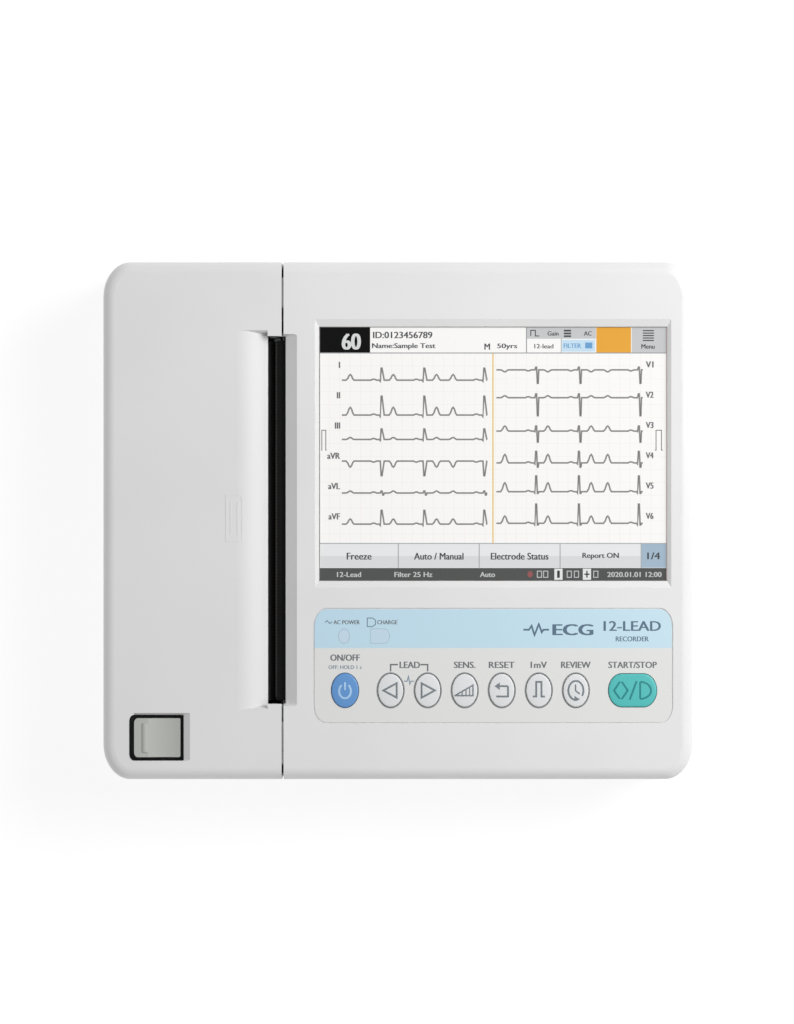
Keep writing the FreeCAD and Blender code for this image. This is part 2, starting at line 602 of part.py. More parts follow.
def display_opening():
    """The window with its sloping rim."""
    slope = frustum("rim_slope", ("win_x0", "win_x1", "win_y0", "win_y1"),
                    ("win_x0-rim_left", "win_x1+rim_right", "win_y0-rim_front", "win_y1+rim_back"),
                    ("rim_z", "top_z"))
    above = box("rim_above", ("win_x0", "win_x1"), ("win_y0", "win_y1"), ("top_z-skin-1", "top_z+1"))
    return [slope, above]


def top_case():
    edge = "join_x+join_gap/2"
    part, hollow = top_shell("top", (edge, "body_w/2+1"))
    shell = cut("top_shell", part, hollow)
    slot_y = ("slot_front-rim_t", "slot_back+rim_t")
    adds = [box("slope_block", (edge, "sill_x"), slot_y, ("sill_z", "top_z-1"))]
    ends = {"front": ("-body_d/2+wall+top_round", "join_front"),
            "back": ("join_back", "body_d/2-wall-top_round")}
    for end, y in ends.items():
        adds.append(box(f"sill_{end}", ("join_x-sill_in", "sill_x"), y, ("join_sill", "top_z-skin-play")))
        adds.append(box(f"sill_web_{end}", (edge, "sill_x"), y, ("join_sill", "top_z-1")))
    for n in (-1, 1):
        y = across(n, "body_d/2-wall-play-strap_t", "body_d/2-wall-play")
        adds.append(box(f"strap_{n}", ("join_x-sill_in", edge), y,
                        ("split_z+strap_up", "top_z-top_round-1")))
        adds.append(box(f"strap_root_{n}", (edge, "sill_x"),
                        across(n, "body_d/2-wall-play-strap_t", "body_d/2-wall+0.5"),
                        ("split_z+strap_up", "top_z-top_round-1")))
    adds += boss_rods("top_boss", "top_boss_r", ("top_boss_z", "top_boss_end"))
    for n, (x, y) in enumerate(BRACKET_POSTS):
        adds.append(rod(f"bracket_post_{n}", "Z", "bracket_post_r", ("lcd_low", "top_z-1"), x, y))
    adds += [rod(f"pad_post_{n}", "Z", "bracket_post_r", ("mat_z+mat_t", "top_z-1"), x, y)
             for n, (x, y) in enumerate(PAD_POSTS)]
    cuts = display_opening() + key_holes("case_key", "key_gap", ("top_z-skin-1", "top_z+1"))
    cuts.append(rounded_block("panel_seat", ("pan_x0-pan_gap", "pan_x1+pan_gap"),
                              ("pan_y0-pan_gap", "pan_y1+pan_gap"), ("top_z-pan_deep", "top_z+1"),
                              "pan_cx+pan_gap", "pan_cy+pan_gap"))
    cuts += boss_rods("top_hole", "boss_hole-play", ("top_boss_z-1", "screw_end+1"))
    cuts.append(box("slot_side", ("join_x-1", "slot_right"), ("slot_front", "slot_back"),
                    ("sill_z-1", "top_z+1")))
    slope = frustum("slope_block_out", ("slot_right-slope_in", "slot_right", "slot_front", "slot_back"),
                    ("slot_right-slope_in", "slope_x", "slot_front-slope_draft", "slot_back+slope_draft"),
                    ("top_z-slope_down", "top_z"))
    cuts.append(fillet("paper_slope", slope, "slope_round", leaning_right("slot_right-1")))
    return cut("top_case", fuse("top_solid", [shell] + adds), cuts)


def scoop_y(more):
    return (f"slot_front-({more})", f"slot_back+({more})")


def paper_cover():
    edge = "join_x-join_gap/2"
    part, hollow = top_shell("cover", ("-body_w/2-1", edge))
    shell = cut("cover_shell", part, hollow)
    swing = [box("swing_room", ("-body_w/2-1", "swing_x"), ("-body_d/2-1", "body_d/2+1"),
                 ("split_z-1", "split_z+swing_up")), hinge_rod("barrel_room", "notch_r", "play")]
    shell = cut("cover_swung", shell, swing)
    axis_z = "top_z-scoop_r"
    band = box("scoop_band", ("scoop_x", "slot_left"), scoop_y("scoop_side"), ("scoop_low", "top_z-1"))
    band = common("scoop_outside", band,
                  rod("scoop_skin", "Y", "scoop_r", scoop_y("20"), "scoop_x", axis_z))
    band = cut("scoop_wall", band,
               [rod("scoop_under", "Y", "scoop_r-skin", scoop_y("21"), "scoop_x", axis_z)])
    adds = [band] + knuckles("cover_knuckle", (1, 3), "knuckle_r")
    for n in (1, 3):
        y = (f"hinge_front+{n}*hinge_len+play", f"hinge_front+{n + 1}*hinge_len-play")
        adds.append(box(f"knuckle_web_{n}", ("-body_w/2", "hinge_x+pin_r+1"), y,
                        ("split_z", "split_z+notch_r+1.5")))
    wall = {"x": ("lat_x0-pocket_wall", "lat_x1+pocket_wall"),
            "y": ("lat_y0-pocket_wall", "lat_y1+pocket_wall")}
    adds.append(box("latch_rim", wall["x"], wall["y"], ("latch_rim_z", "top_z-1")))
    slope = frustum("latch_slope_out", ("lat_x0+lat_cx", "lat_x1", "lat_y0", "lat_y1"),
                    ("lat_x0+lat_cx", "lat_x1+lat_slope_x", "lat_y0", "lat_y1+lat_slope_y"),
                    ("top_z-lat_slope_z", "top_z"))
    cuts = [
        hinge_rod("cover_bore", "pin_r+pin_gap", "1"),
        box("paper_slot", ("slot_left", edge), scoop_y("0"), ("scoop_low-1", "top_z+1")),
        cut("scoop", frustum("scoop_open", ("scoop_x", "slot_left", "slot_front", "slot_back"),
                             ("scoop_x", "slot_left", "slot_front-scoop_draft", "slot_back+scoop_draft"),
                             ("top_z-scoop_down", "top_z")),
            [rod("scoop_form", "Y", "scoop_r", scoop_y("22"), "scoop_x", axis_z)]),
        half_square("latch_opening", ("lat_x0", "lat_x1"), ("lat_y0", "lat_y1"),
                    ("latch_rim_z-1", "top_z+1"), "lat_cx", "lat_cy"),
        fillet("latch_slope", slope, "lat_slope_round", leaning_right("lat_x1-1")),
    ]
    return cut("paper_cover", fuse("cover_solid", [shell] + adds), cuts)


def rear_panel():
    """The moulded connector panel: a proud plate with a flange inside and a cup for the earth pin."""
    inside = "body_d/2-wall"
    edge = "play/2"
    plate = box("rear_plate", (f"rp_x0+{edge}", f"rp_x1-{edge}"), (inside, "body_d/2+rp_proud"),
                (f"rp_z0+{edge}", f"rp_z1-{edge}"))
    flange = box("rear_flange", ("rp_x0-rp_flange", "rp_x1+rp_flange"), ("rp_flange_y", inside),
                 ("rp_z0-rp_flange", "rp_z1+rp_flange"))
    cup = rod("cup_out", "Y", "pot_cup_r", ("pot_cup_y", inside), "pot_x", "ac_z")
    through = ("pot_cup_y-1", "body_d/2+2")
    cuts = [
        rod("cup_in", "Y", "pot_cup_in", ("pot_cup_y+2", "body_d/2+2"), "pot_x", "ac_z"),
        rod("cup_pin", "Y", "pot_r+play/2", through, "pot_x", "ac_z"),
        box("inlet_hole", ("ac_x-ac_w/2-play", "ac_x+ac_w/2+play"), through,
            ("ac_z-ac_t/2-play", "ac_z+ac_t/2+play")),
        box("network_hole", ("lan_x-lan_w/2-play", "lan_x+lan_w/2+play"), through,
            ("main_z-lan_t-play", "main_z+play")),
    ]
    return cut("rear_panel", fuse("rear_solid", [plate, flange, cup]), cuts)


def battery_door():
    body = add("PartDesign::Body", "door_panel")
    pad(body, "door_plate", ("bay_x0+door_gap", "bay_x1-door_gap"), ("bay_y0+door_gap", "bay_y1-door_gap"),
        ("floor_z", "floor_z+bay_step-door_lift"))
    for n in (-1, 1):
        x = f"(bay_x0+bay_x1)/2+{n}*grip_pitch"
        for m in range(4):
            y = f"bay_y0+grip_y+{m}*grip_step"
            pocket(body, f"grip_{n + 1}_{m}", (f"{x}-grip_w", f"{x}+grip_w"), (y, f"{y}+grip_t"),
                   "floor_z+grip_deep", "grip_deep+1")
    hole = door_rods("door_clear", "door_head_r", ("floor_z-1", "floor_z+bay_step"))
    return cut("battery_door", body, hole)


def rubber_feet():
    feet = []
    for n in (-1, 1):
        for m in (-1, 1):
            disc = rod(f"foot_{n}_{m}", "Z", "foot_r", ("0", "floor_z+foot_sink"),
                       f"{n}*foot_x", f"{m}*foot_yy")
            feet.append(fillet(f"foot_round_{n}_{m}", disc, "foot_edge", flat_at("0")))
    return group("rubber_feet", feet)


def screws():
    made = []
    for n, (x, y) in enumerate(CASE_BOSSES):
        head = rod(f"case_head_{n}", "Z", "screw_head_r",
                   ("screw_well_z-screw_head_t", "screw_well_z"), x, y)
        shank = rod(f"case_shank_{n}", "Z", "screw_r", ("screw_well_z", "screw_end"), x, y)
        made.append(fuse(f"case_screw_{n}", [head, shank]))
    for n in (-1, 1):
        x = f"(bay_x0+bay_x1)/2+{n}*door_screw_x"
        head = rod(f"door_head_{n}", "Z", "door_head_r-play", ("floor_z", "floor_z+bay_step"), x,
                   "door_screw_y")
        shank = rod(f"door_shank_{n}", "Z", "door_hole_r-play/2", ("floor_z", "door_boss_z-1"), x,
                    "door_screw_y")
        made.append(fuse(f"door_screw_{n}", [head, shank]))
    return group("screws", made)


# ---------------------------------------------------------------- display and key panel

def display_gasket():
    z = ("top_z-skin-gasket_t", "top_z-skin")
    return ring("display_gasket", window_block("gasket_out", "glass_in", z),
                window_block("gasket_in", "1", ("top_z-skin-2", "top_z-skin+1")))


def lcd_module():
    """The display panel: a metal frame with the lit area stepped up inside it."""
    z1 = "top_z-skin-gasket_t-glass_t"
    frame = window_block("lcd_frame", "lcd_in", (f"{z1}-lcd_t", f"{z1}-0.6"))
    lit = window_block("lcd_lit", "1", (f"{z1}-1", z1))
    return fuse("lcd_module", [frame, lit])


def lcd_bracket():
    """A plate under the display with two stiffening ribs, screwed to four posts of the top case."""
    z1 = "lcd_low"
    pieces = [box("bracket_plate", ("win_x0-bracket_in", "win_x1+bracket_in"),
                  ("win_y0-bracket_tab", "win_y1+bracket_tab"), (f"{z1}-bracket_t", z1))]
    for n in (0, 1):
        y = f"(win_y0+win_y1)/2+{2 * n - 1}*bracket_rib"
        pieces.append(box(f"bracket_rib_{n}", ("win_x0", "win_x1"), (y, f"{y}+bracket_t"),
                          (f"{z1}-bracket_t-6", f"{z1}-bracket_t/2")))
    return fuse("lcd_bracket", pieces)


def panel_overlay():
    z = ("top_z-pan_deep", "top_z-pan_deep+pan_t")
    sheet_ = rounded_block("overlay_sheet", ("pan_x0", "pan_x1"), ("pan_y0", "pan_y1"), z, "pan_cx",
                           "pan_cy")
    return cut("panel_overlay", sheet_, key_holes("overlay_hole", "key_gap", ("top_z-2", "top_z+1")))


def key_cap(label, body, rim, top):
    """A cap with a rim under the case that keeps it in."""
    whole = fuse(label + "_whole", [body, rim])
    return fillet(label, whole, "key_edge", flat_at(top))


def keys():
    z, rim_z = ("key_foot", "key_top"), ("key_rim_z", "key_rim_z+key_rim_t")
    made = [key_cap("key_power", oval("power_body", "power_rx", "power_ry", z, "power_x", "key_y"),
                    oval("power_rim", "power_rx+key_rim", "power_ry+key_rim", rim_z, "power_x", "key_y"),
                    "key_top")]
    for label, x in KEY_PLACES:
        made.append(key_cap(label, oval(label + "_body", "key_rx", "key_ry", z, x, "key_y"),
                            oval(label + "_rim", "key_rx+key_rim", "key_ry+key_rim", rim_z, x, "key_y"),
                            "key_top"))
    made.append(key_cap("key_start", pill("start_body", "0", z), pill("start_rim", "key_rim", rim_z),
                        "key_top"))
    return made


def key_centres():
    return ["power_x"] + [x for _, x in KEY_PLACES] + ["start_x"]


def keypad_mat():
    """The rubber mat: one dome under each key."""
    x, y = ("pan_x0+mat_in", "pan_x1-mat_in"), ("pan_y0+mat_in", "pan_y1-mat_in")
    pieces = [box("mat_sheet", x, y, ("mat_z", "mat_z+mat_t"))]
    for n, centre in enumerate(key_centres()):
        pieces.append(rod(f"mat_dome_{n}", "Z", "mat_dome_r", ("mat_z+mat_t/2", "key_foot-0.05"), centre,
                          "key_y"))
    lights = [rod("mat_light_ac", "Z", "lens_foot_r+play", ("mat_z-1", "lens_z+1"), "lens_ac_x", "lens_y"),
              rod("mat_light_bat", "Z", "lens_foot_r+play", ("mat_z-1", "lens_z+1"), "lens_bat_x",
                  "lens_y")]
    return cut("keypad_mat", fuse("mat_solid", pieces), lights)


def led_lenses():
    """Light pipes from the key board up to the panel."""
    z = ("lens_z", "lens_top")
    low = ("mat_z", "lens_z")
    ac = [oval("lens_ac_head", "lens_ac_rx", "lens_ry", z, "lens_ac_x", "lens_y"),
          rod("lens_ac_foot", "Z", "lens_foot_r", low, "lens_ac_x", "lens_y")]
    bat = [battery_lens("lens_bat_head", "0", z),
           rod("lens_bat_foot", "Z", "lens_foot_r", low, "lens_bat_x", "lens_y")]
    return group("led_lenses", [fuse("lens_ac", ac), fuse("lens_bat", bat)])


# ---------------------------------------------------------------- paper cover's own pieces

def cover_liner():
    """A panel inside the cover: ribs above it reach the cover, ribs below hold the paper down."""
    x, y = ("liner_x0", "liner_x1"), ("-liner_y", "liner_y")
    pieces = [box("liner_plate", x, y, ("liner_z", "liner_z+liner_t"))]
    for n in range(int(DIMS["rib_count"])):
        at = f"-liner_y+{n}*(2*liner_y-rib_t)/(rib_count-1)"
        pieces.append(box(f"liner_rib_{n}", x, (at, f"{at}+rib_t"), ("liner_z-rib_down", "top_z-skin")))
    return fuse("cover_liner", pieces)


def bearing_pair(name, make):
    """The same piece at both ends of the platen; make takes -1 for the front and 1 for the back."""
    return [make(f"{name}_{n}", n) for n in (-1, 1)]


def across(n, near, far):
    """The Y span from near to far, at the front end for n = -1 and the back end for n = 1."""
    return (f"-({far})", f"-({near})") if n < 0 else (near, far)


def platen_brackets():
    def ear(name, n):
        y = across(n, "ear_in", "ear_in+ear_t")
        web = box(name + "_web", ("ear_x0", "ear_x1"), y, ("plat_z", "top_z-skin"))
        end = rod(name + "_end", "Y", "(ear_x1-ear_x0)/2", y, "(ear_x0+ear_x1)/2", "plat_z")
        foot = box(name + "_foot", ("ear_x0", "ear_x1"), across(n, "ear_in", "ear_in+2*ear_t"),
                   ("top_z-skin-2", "top_z-skin"))
        hole = rod(name + "_hole", "Y", "bush_r", across(n, "ear_in-1", "ear_in+ear_t+1"), "plat_x",
                   "plat_z")
        return cut(name, fuse(name + "_solid", [web, end, foot]), [hole])
    return group("platen_brackets", bearing_pair("ear", ear))


def platen_bushes():
    def bush(name, n):
        barrel = rod(name + "_barrel", "Y", "bush_r", across(n, "ear_in", "ear_in+ear_t"), "plat_x",
                     "plat_z")
        flange = rod(name + "_flange", "Y", "bush_flange", across(n, "ear_in-bush_flange_t", "ear_in"),
                     "plat_x", "plat_z")
        bore = rod(name + "_bore", "Y", "shaft_r+run_gap", across(n, "ear_in-3", "ear_in+ear_t+1"),
                   "plat_x", "plat_z")
        return cut(name, fuse(name + "_solid", [barrel, flange]), [bore])
    return group("platen_bushes", bearing_pair("bush", bush))


def latch_housing():
    """The dark box under the latch opening, slotted for the stem of the button."""
    x = ("lat_x0-pocket_wall", "lat_x1+pocket_wall")
    y = ("lat_y0-pocket_wall", "lat_y1+pocket_wall")
    outside = box("housing_out", x, y, ("pocket_z", "latch_rim_z"))
    inside = box("housing_in", ("lat_x0", "lat_x1"), ("lat_y0", "lat_y1"),
                 ("pocket_z+pocket_floor", "top_z"))
    slot = box("stem_slot", ("stem_x0-latch_travel-play", "stem_x1+play"),
               ("stem_y-stem_w/2-play", "stem_y+stem_w/2+play"), ("pocket_z-1", "pocket_z+pocket_floor+1"))
    return group("latch_housing", [cut("latch_box", outside, [inside, slot])] + latch_guides())


def latch_button():
    """The sliding button: a finger dish, a grip ridge and a stem down to the latch bar."""
    block = half_square("button_block", ("btn_x0", "btn_x1"), ("btn_y0", "btn_y1"), ("btn_z0", "btn_z1"),
                        "btn_c", "btn_c*4/3")
    dish = rod("button_dish", "Y", "btn_dish_r", ("btn_y0-1", "btn_y1+1"), "btn_dish_x",
               "btn_z1-btn_dish_down+btn_dish_r")
    ridge = rod("button_ridge", "Y", "rdg_w", ("btn_y0+rdg_in", "btn_y1-rdg_in"), "rdg_x",
                "btn_z1+rdg_up-rdg_w")
    stem = box("button_stem", ("stem_x0", "stem_x1"), ("stem_y-stem_w/2", "stem_y+stem_w/2"),
               ("bar_z+bar_t", "btn_z0+0.5"))
    return fuse("latch_button", [cut("button_dished", block, [dish]), ridge, stem])


def latch_bar():
    """The steel strip that the button slides, turned down at its left end for the spring."""
    strip = box("bar_strip", ("bar_x0", "bar_x1"), ("bar_y0", "bar_y1"), ("bar_z", "bar_z+bar_t"))
    tab = box("bar_tab", ("bar_x0", "bar_x0+bar_t"), ("bar_y0", "bar_y1"),
              ("bar_z-spring_drop", "bar_z+bar_t/2"))
    return fuse("latch_bar", [strip, tab])


def latch_guides():
    """Two loops under the cover that carry the latch bar."""
    made = []
    for n, x in enumerate(("guide_x0", "guide_x1")):
        loop = box(f"guide_out_{n}", (x, f"{x}+guide_t"), ("bar_y0-guide_side", "bar_y1+guide_side"),
                   ("guide_z", "top_z-skin"))
        window = box(f"guide_in_{n}", (f"{x}-1", f"{x}+guide_t+1"), ("bar_y0-bar_play", "bar_y1+bar_play"),
                     ("bar_z-bar_play", "bar_z+bar_t+bar_play"))
        made.append(cut(f"guide_{n}", loop, [window]))
    stop = box("spring_stop", ("stop_x", "stop_x+stop_t"), ("bar_y0", "bar_y1"),
               ("bar_z-spring_drop", "pocket_z"))
    return made + [stop]


# ---------------------------------------------------------------- shapes from curves

def coil(radius, wire, length, turns):
    """A round-wire spring along +Z from the origin."""
    path = Part.makeHelix(length / turns, length, radius)
    profile = Part.Wire(Part.Circle(Vector(radius, 0, 0), Vector(0, 1, 0), wire).toShape())
    return Part.Wire(path.Edges).makePipeShell([profile], True, True)


def involute(base, radius, turn):
    """The point of an involute of the circle base at a radius, started at the angle turn."""
    roll = math.sqrt(max((radius / base) ** 2 - 1, 0))
    angle = turn + roll - math.atan(roll)
    return Vector(radius * math.cos(angle), radius * math.sin(angle), 0)


def gear(teeth, width, bore, turn):
    """A spur gear along +Z with 20-degree involute flanks, its first tooth at the angle turn."""
    mod = DIMS["tooth_mod"]
    pitch, tip, root = mod * teeth / 2, mod * (teeth / 2 + 1), mod * (teeth / 2 - 1.25)
    base = pitch * math.cos(math.radians(20))
    start = max(base, root)
    roll = math.sqrt((pitch / base) ** 2 - 1)
    half = math.pi / 2 / teeth - DIMS["gear_slack"] / 2 / pitch + roll - math.atan(roll)
    edges = []
    for n in range(teeth):
        centre = turn + 2 * math.pi * n / teeth
        flank = [involute(base, start + (tip - start) * k / 4, 0) for k in range(5)]
        right = [spun(p, centre - half) for p in flank]
        left = [spun(Vector(p.x, -p.y, 0), centre + half) for p in flank]
        foot_r, foot_l = spun(Vector(root, 0, 0), centre - half), spun(Vector(root, 0, 0), centre + half)
        next_foot = spun(Vector(root, 0, 0), centre + 2 * math.pi / teeth - half)
        gap = spun(Vector(root, 0, 0), centre + math.pi / teeth)
        edges += [Part.LineSegment(foot_r, right[0]).toShape(), spline(right),
                  Part.LineSegment(right[-1], left[-1]).toShape(), spline(left[::-1]),
                  Part.LineSegment(left[0], foot_l).toShape(),
                  Part.Arc(foot_l, gap, next_foot).toShape()]
    outline = Part.Face(Part.Wire(edges))
    disc = outline.extrude(Vector(0, 0, width))
    return disc.cut(Part.makeCylinder(bore, width + 2, Vector(0, 0, -1)))


def spun(point, angle):
    c, s = math.cos(angle), math.sin(angle)
    return Vector(point.x * c - point.y * s, point.x * s + point.y * c, 0)


def spline(points):
    curve = Part.BSplineCurve()
    curve.interpolate(points)
    return curve.toShape()


def lying(x, y, z):
    """A placement that lays a shape's +Z along +Y and its +Y down, with its origin at x, y, z."""
    return FreeCAD.Placement(Vector(value(x), value(y), value(z)), TURN["Y"])


def train_centre(distance, angle, x, z):
    return x + distance * math.cos(angle), z + distance * math.sin(angle)


def gear_train():
    """The three gears, each turned so that a tooth meets a gap at rest."""
    mod, down = DIMS["tooth_mod"], math.radians(DIMS["train_deg"])
    n0, n1, n2 = DIMS["plat_teeth"], DIMS["idler_teeth"], DIMS["pinion_teeth"]
    x0, z0 = DIMS["plat_x"], DIMS["plat_z"]
    x1, z1 = train_centre(mod * (n0 + n1) / 2, down, x0, z0)
    x2, z2 = train_centre(mod * (n1 + n2) / 2, down, x1, z1)
    width = DIMS["gear_y1"] - DIMS["gear_y0"]
    facing = -down
    made = []
    for label, teeth, bore, turn, x, z in (
        ("platen_gear", n0, DIMS["shaft_r"], facing, x0, z0),
        ("idler_gear", n1, DIMS["idler_pin"] + DIMS["run_gap"], facing + math.pi + math.pi / n1, x1, z1),
        ("motor_pinion", n2, DIMS["motor_shaft"], facing + math.pi, x2, z2),
    ):
        made.append(feature(label, gear(teeth, width, bore, turn), lying(x, "gear_y0", z)))
    return made, (x1, z1), (x2, z2)


def springs():
    """The latch spring along X and the two head springs along X."""
    free = value("bar_x0-(stop_x+stop_t)")
    latch = coil(DIMS["lat_coil_r"], DIMS["lat_wire"], free - 2 * DIMS["lat_wire"], 7)
    latch_at = FreeCAD.Placement(Vector(value("stop_x+stop_t+lat_wire"), value("stem_y"),
                                        value("bar_z-spring_drop/2")), TURN["X"])
    left = value("head_x+head_t+sink_t")
    length = value("back_x-head_gap") - left - 2 * DIMS["head_wire"]
    head = []
    for n in (-1, 1):
        one = coil(DIMS["head_coil_r"], DIMS["head_wire"], length, 3)
        one.Placement = FreeCAD.Placement(Vector(left + DIMS["head_wire"], n * DIMS["head_coil_y"],
                                                 DIMS["head_coil_z"]), TURN["X"])
        head.append(one)
    return [feature("latch_spring", latch, latch_at), feature("head_springs", Part.makeCompound(head))]


def tear_bar():
    """A steel strip over the platen with a saw-toothed left edge."""
    half, step, deep = DIMS["tear_half"], DIMS["tear_pitch"], DIMS["tear_deep"]
    x0, x1 = DIMS["tear_x0"], DIMS["tear_x1"]
    points = [Vector(x1, -half, 0), Vector(x1, half, 0)]
    for n in range(int(2 * half / step)):
        points += [Vector(x0 + deep, half - n * step, 0), Vector(x0, half - (n + 0.5) * step, 0)]
    points.append(Vector(x0 + deep, -half, 0))
    strip = Part.Face(Part.makePolygon(points + [points[0]])).extrude(Vector(0, 0, DIMS["tear_t"]))
    return feature("tear_bar", strip, FreeCAD.Placement(Vector(0, 0, DIMS["side_top"]), FreeCAD.Rotation()))


# ---------------------------------------------------------------- printer

def printer_chassis(idler, motor):
    """Bent steel: two side plates, a cross plate behind the head and feet on the floor pads."""
    pieces = [box("cross_plate", ("back_x", "back_x+back_t"), ("-side_y", "side_y"),
                  ("back_z", "side_top"))]
    pieces.append(box("cross_flange", ("back_x", "side_high_x1"), ("-side_y", "side_y"),
                      ("side_top-back_t", "side_top")))
    for n in (-1, 1):
        y = across(n, "side_y", "side_y+side_t")
        pieces.append(box(f"side_low_{n}", ("side_x0", "side_x1"), y, ("side_z", "side_mid")))
        pieces.append(box(f"side_high_{n}", ("side_high_x", "side_high_x1"), y, ("side_mid-1", "side_top")))
        pieces.append(box(f"side_foot_{n}", ("side_x0", "side_x1"), across(n, "side_y", "foot_y"),
                          ("side_z", "side_z+side_t")))
    reach = ("-side_y-side_t-1", "side_y+side_t+1")
    rear = ("side_y-1", "side_y+side_t+1")
    cuts = [
        rod("pivot_hole", "Y", "head_pin_r", reach, "head_pin_x", "head_pin_z"),
        rod("idler_hole", "Y", "idler_pin", rear, idler[0], idler[1]),
        rod("motor_hole", "Y", "motor_boss_r", rear, motor[0], motor[1]),
        box("ribbon_slot", ("back_x-1", "back_x+back_t+1"), ("-ffc_w/2-2", "ffc_w/2+2"),
            ("ffc_z1-3", "ffc_z1+1")),
    ]
    return cut("printer_chassis", fuse("chassis_solid", pieces), cuts)


def stepper_motor(motor):
    """A square can with end caps and a spigot through the side plate."""
    half = "motor_side/2"
    x = (f"{motor[0]}-{half}", f"{motor[0]}+{half}")
    z = (f"{motor[1]}-{half}", f"{motor[1]}+{half}")
    can = fillet("motor_can", box("motor_block", x, ("side_y-motor_len", "side_y"), z), "motor_chamfer",
                 lambda e: e.BoundBox.XLength < TOL and e.BoundBox.ZLength < TOL)
    spigot = rod("motor_spigot", "Y", "motor_boss_r", ("side_y-1", "side_y+side_t"), motor[0], motor[1])
    bore = rod("motor_bore", "Y", "motor_shaft+run_gap", ("side_y-motor_len-1", "side_y+side_t+1"),
               motor[0], motor[1])
    return cut("stepper_motor", fuse("motor_solid", [can, spigot]), [bore])


def head_heatsink():
    """An aluminium bar behind the heating element, with fins and a hub on the pivot."""
    x0 = "head_x+head_t"
    y = ("-head_half", "head_half")
    bar = box("sink_bar", (x0, f"{x0}+sink_t"), y, ("head_z0", "head_z1"))
    neck = box("sink_neck", (x0, f"{x0}+sink_t"), y, ("head_pin_z", "head_z0+1"))
    hub = rod("sink_hub_rod", "Y", "sink_hub", y, "head_pin_x", "head_pin_z")
    cuts = [rod("sink_bore", "Y", "head_pin_r+run_gap", ("-head_half-1", "head_half+1"),
                "head_pin_x", "head_pin_z")]
    for n in range(3):
        z = f"head_z0+4+{n}*5"
        cuts.append(box(f"sink_groove_{n}", (f"{x0}+sink_t-2", f"{x0}+sink_t+1"),
                        ("-head_half+8", "-head_coil_y-6"),
                        (z, f"{z}+2")))
    return cut("head_heatsink", fuse("sink_solid", [bar, neck, hub]), cuts)


def paper_tray():
    """The well that holds the folded paper, and the deck plates before and behind it."""
    x = ("well_x0-tray_wall", "well_x1+tray_wall")
    y = ("-well_y-tray_wall", "well_y+tray_wall")
    outside = box("well_out", x, y, ("well_z-tray_wall", "deck_z"))
    flange = box("well_flange", ("deck_x0", "well_x0"), y, ("deck_z-deck_t", "deck_z"))
    inside = box("well_in", ("well_x0", "well_x1"), ("-well_y", "well_y"), ("well_z", "deck_z+1"))
    low = box("well_low", ("well_x1-1", "well_x1+tray_wall+1"), ("-well_y", "well_y"),
              ("deck_z-tray_low", "deck_z+1"))
    well = cut("paper_well", fuse("well_solid", [outside, flange]), [inside, low])
    deck = rounded_block("tray_deck", ("deck_x0", x[1]), ("-deck_y", "deck_y"),
                         ("deck_z-deck_t", "deck_z"), "deck_cx", "deck_cy")
    plates = []
    for n, side in enumerate((("-deck_y", y[0]), (y[1], "deck_y"))):
        clip = box(f"deck_clip_{n}", ("deck_x0", x[1]), side, ("deck_z-deck_t", "deck_z"))
        plates.append(common(f"deck_plate_{n}", deck, clip))
    return group("paper_tray", [well] + plates)


def cover_switch():
    body = box("switch_body", ("switch_x", "switch_x+switch_w"), ("switch_y-switch_t", "switch_y"),
               ("switch_z", "switch_z+switch_h"))
    lever = box("switch_lever", ("switch_x-3", "switch_x+switch_w/2"),
                ("switch_y-switch_t/2-1", "switch_y-switch_t/2+1"),
                ("switch_z+switch_h-0.5", "switch_z+switch_h+1"))
    return fuse("cover_switch", [body, lever])


def head_ribbon_cable():
    """A flat cable from the slot in the cross plate down to the main board."""
    y = ("-ffc_w/2", "ffc_w/2")
    pieces = [
        box("ffc_drop", ("ffc_x0", "ffc_x0+ffc_t"), y, ("ffc_z", "ffc_z1")),
        box("ffc_run", ("ffc_x0", "ffc_x1+ffc_t"), y, ("ffc_z-ffc_t", "ffc_z")),
        box("ffc_down", ("ffc_x1", "ffc_x1+ffc_t"), y, ("main_z+board_t+ffc_plug", "ffc_z-ffc_t/2")),
    ]
    return fuse("head_ribbon_cable", pieces)


# ---------------------------------------------------------------- electronics and connectors

def board(label, x, y, z, chips):
    """A circuit board with rectangular components; chips hold x, y, width, depth and height."""
    body = add("PartDesign::Body", label + "_sheet")
    pad(body, label + "_board", x, y, (z, f"{z}+board_t"))
    made = [body]
    for n, (cx, cy, w, d, tall) in enumerate(chips):
        made.append(box(f"{label}_chip_{n}", (f"{cx}-{w}/2", f"{cx}+{w}/2"), (f"{cy}-{d}/2", f"{cy}+{d}/2"),
                        (f"{z}+board_t/2", f"{z}+board_t+({tall})")))
    return fuse(label, made)


def speaker():
    cone = rod("speaker_frame", "Z", "spk_r", ("floor_z+wall", "floor_z+wall+spk_t/3"), "spk_x", "spk_y")
    back = rod("speaker_back", "Z", "spk_r*0.7", ("floor_z+wall+spk_t/3-0.5", "floor_z+wall+spk_t"),
               "spk_x", "spk_y")
    magnet = rod("speaker_magnet", "Z", "spk_magnet",
                 ("floor_z+wall+spk_t-0.5", "floor_z+wall+spk_t+spk_magnet_t"),
                 "spk_x", "spk_y")
    return fuse("speaker", [cone, back, magnet])


def inlet_block(name, w, t, y):
    return box(name, (f"ac_x-({w})/2", f"ac_x+({w})/2"), y, (f"ac_z-({t})/2", f"ac_z+({t})/2"))


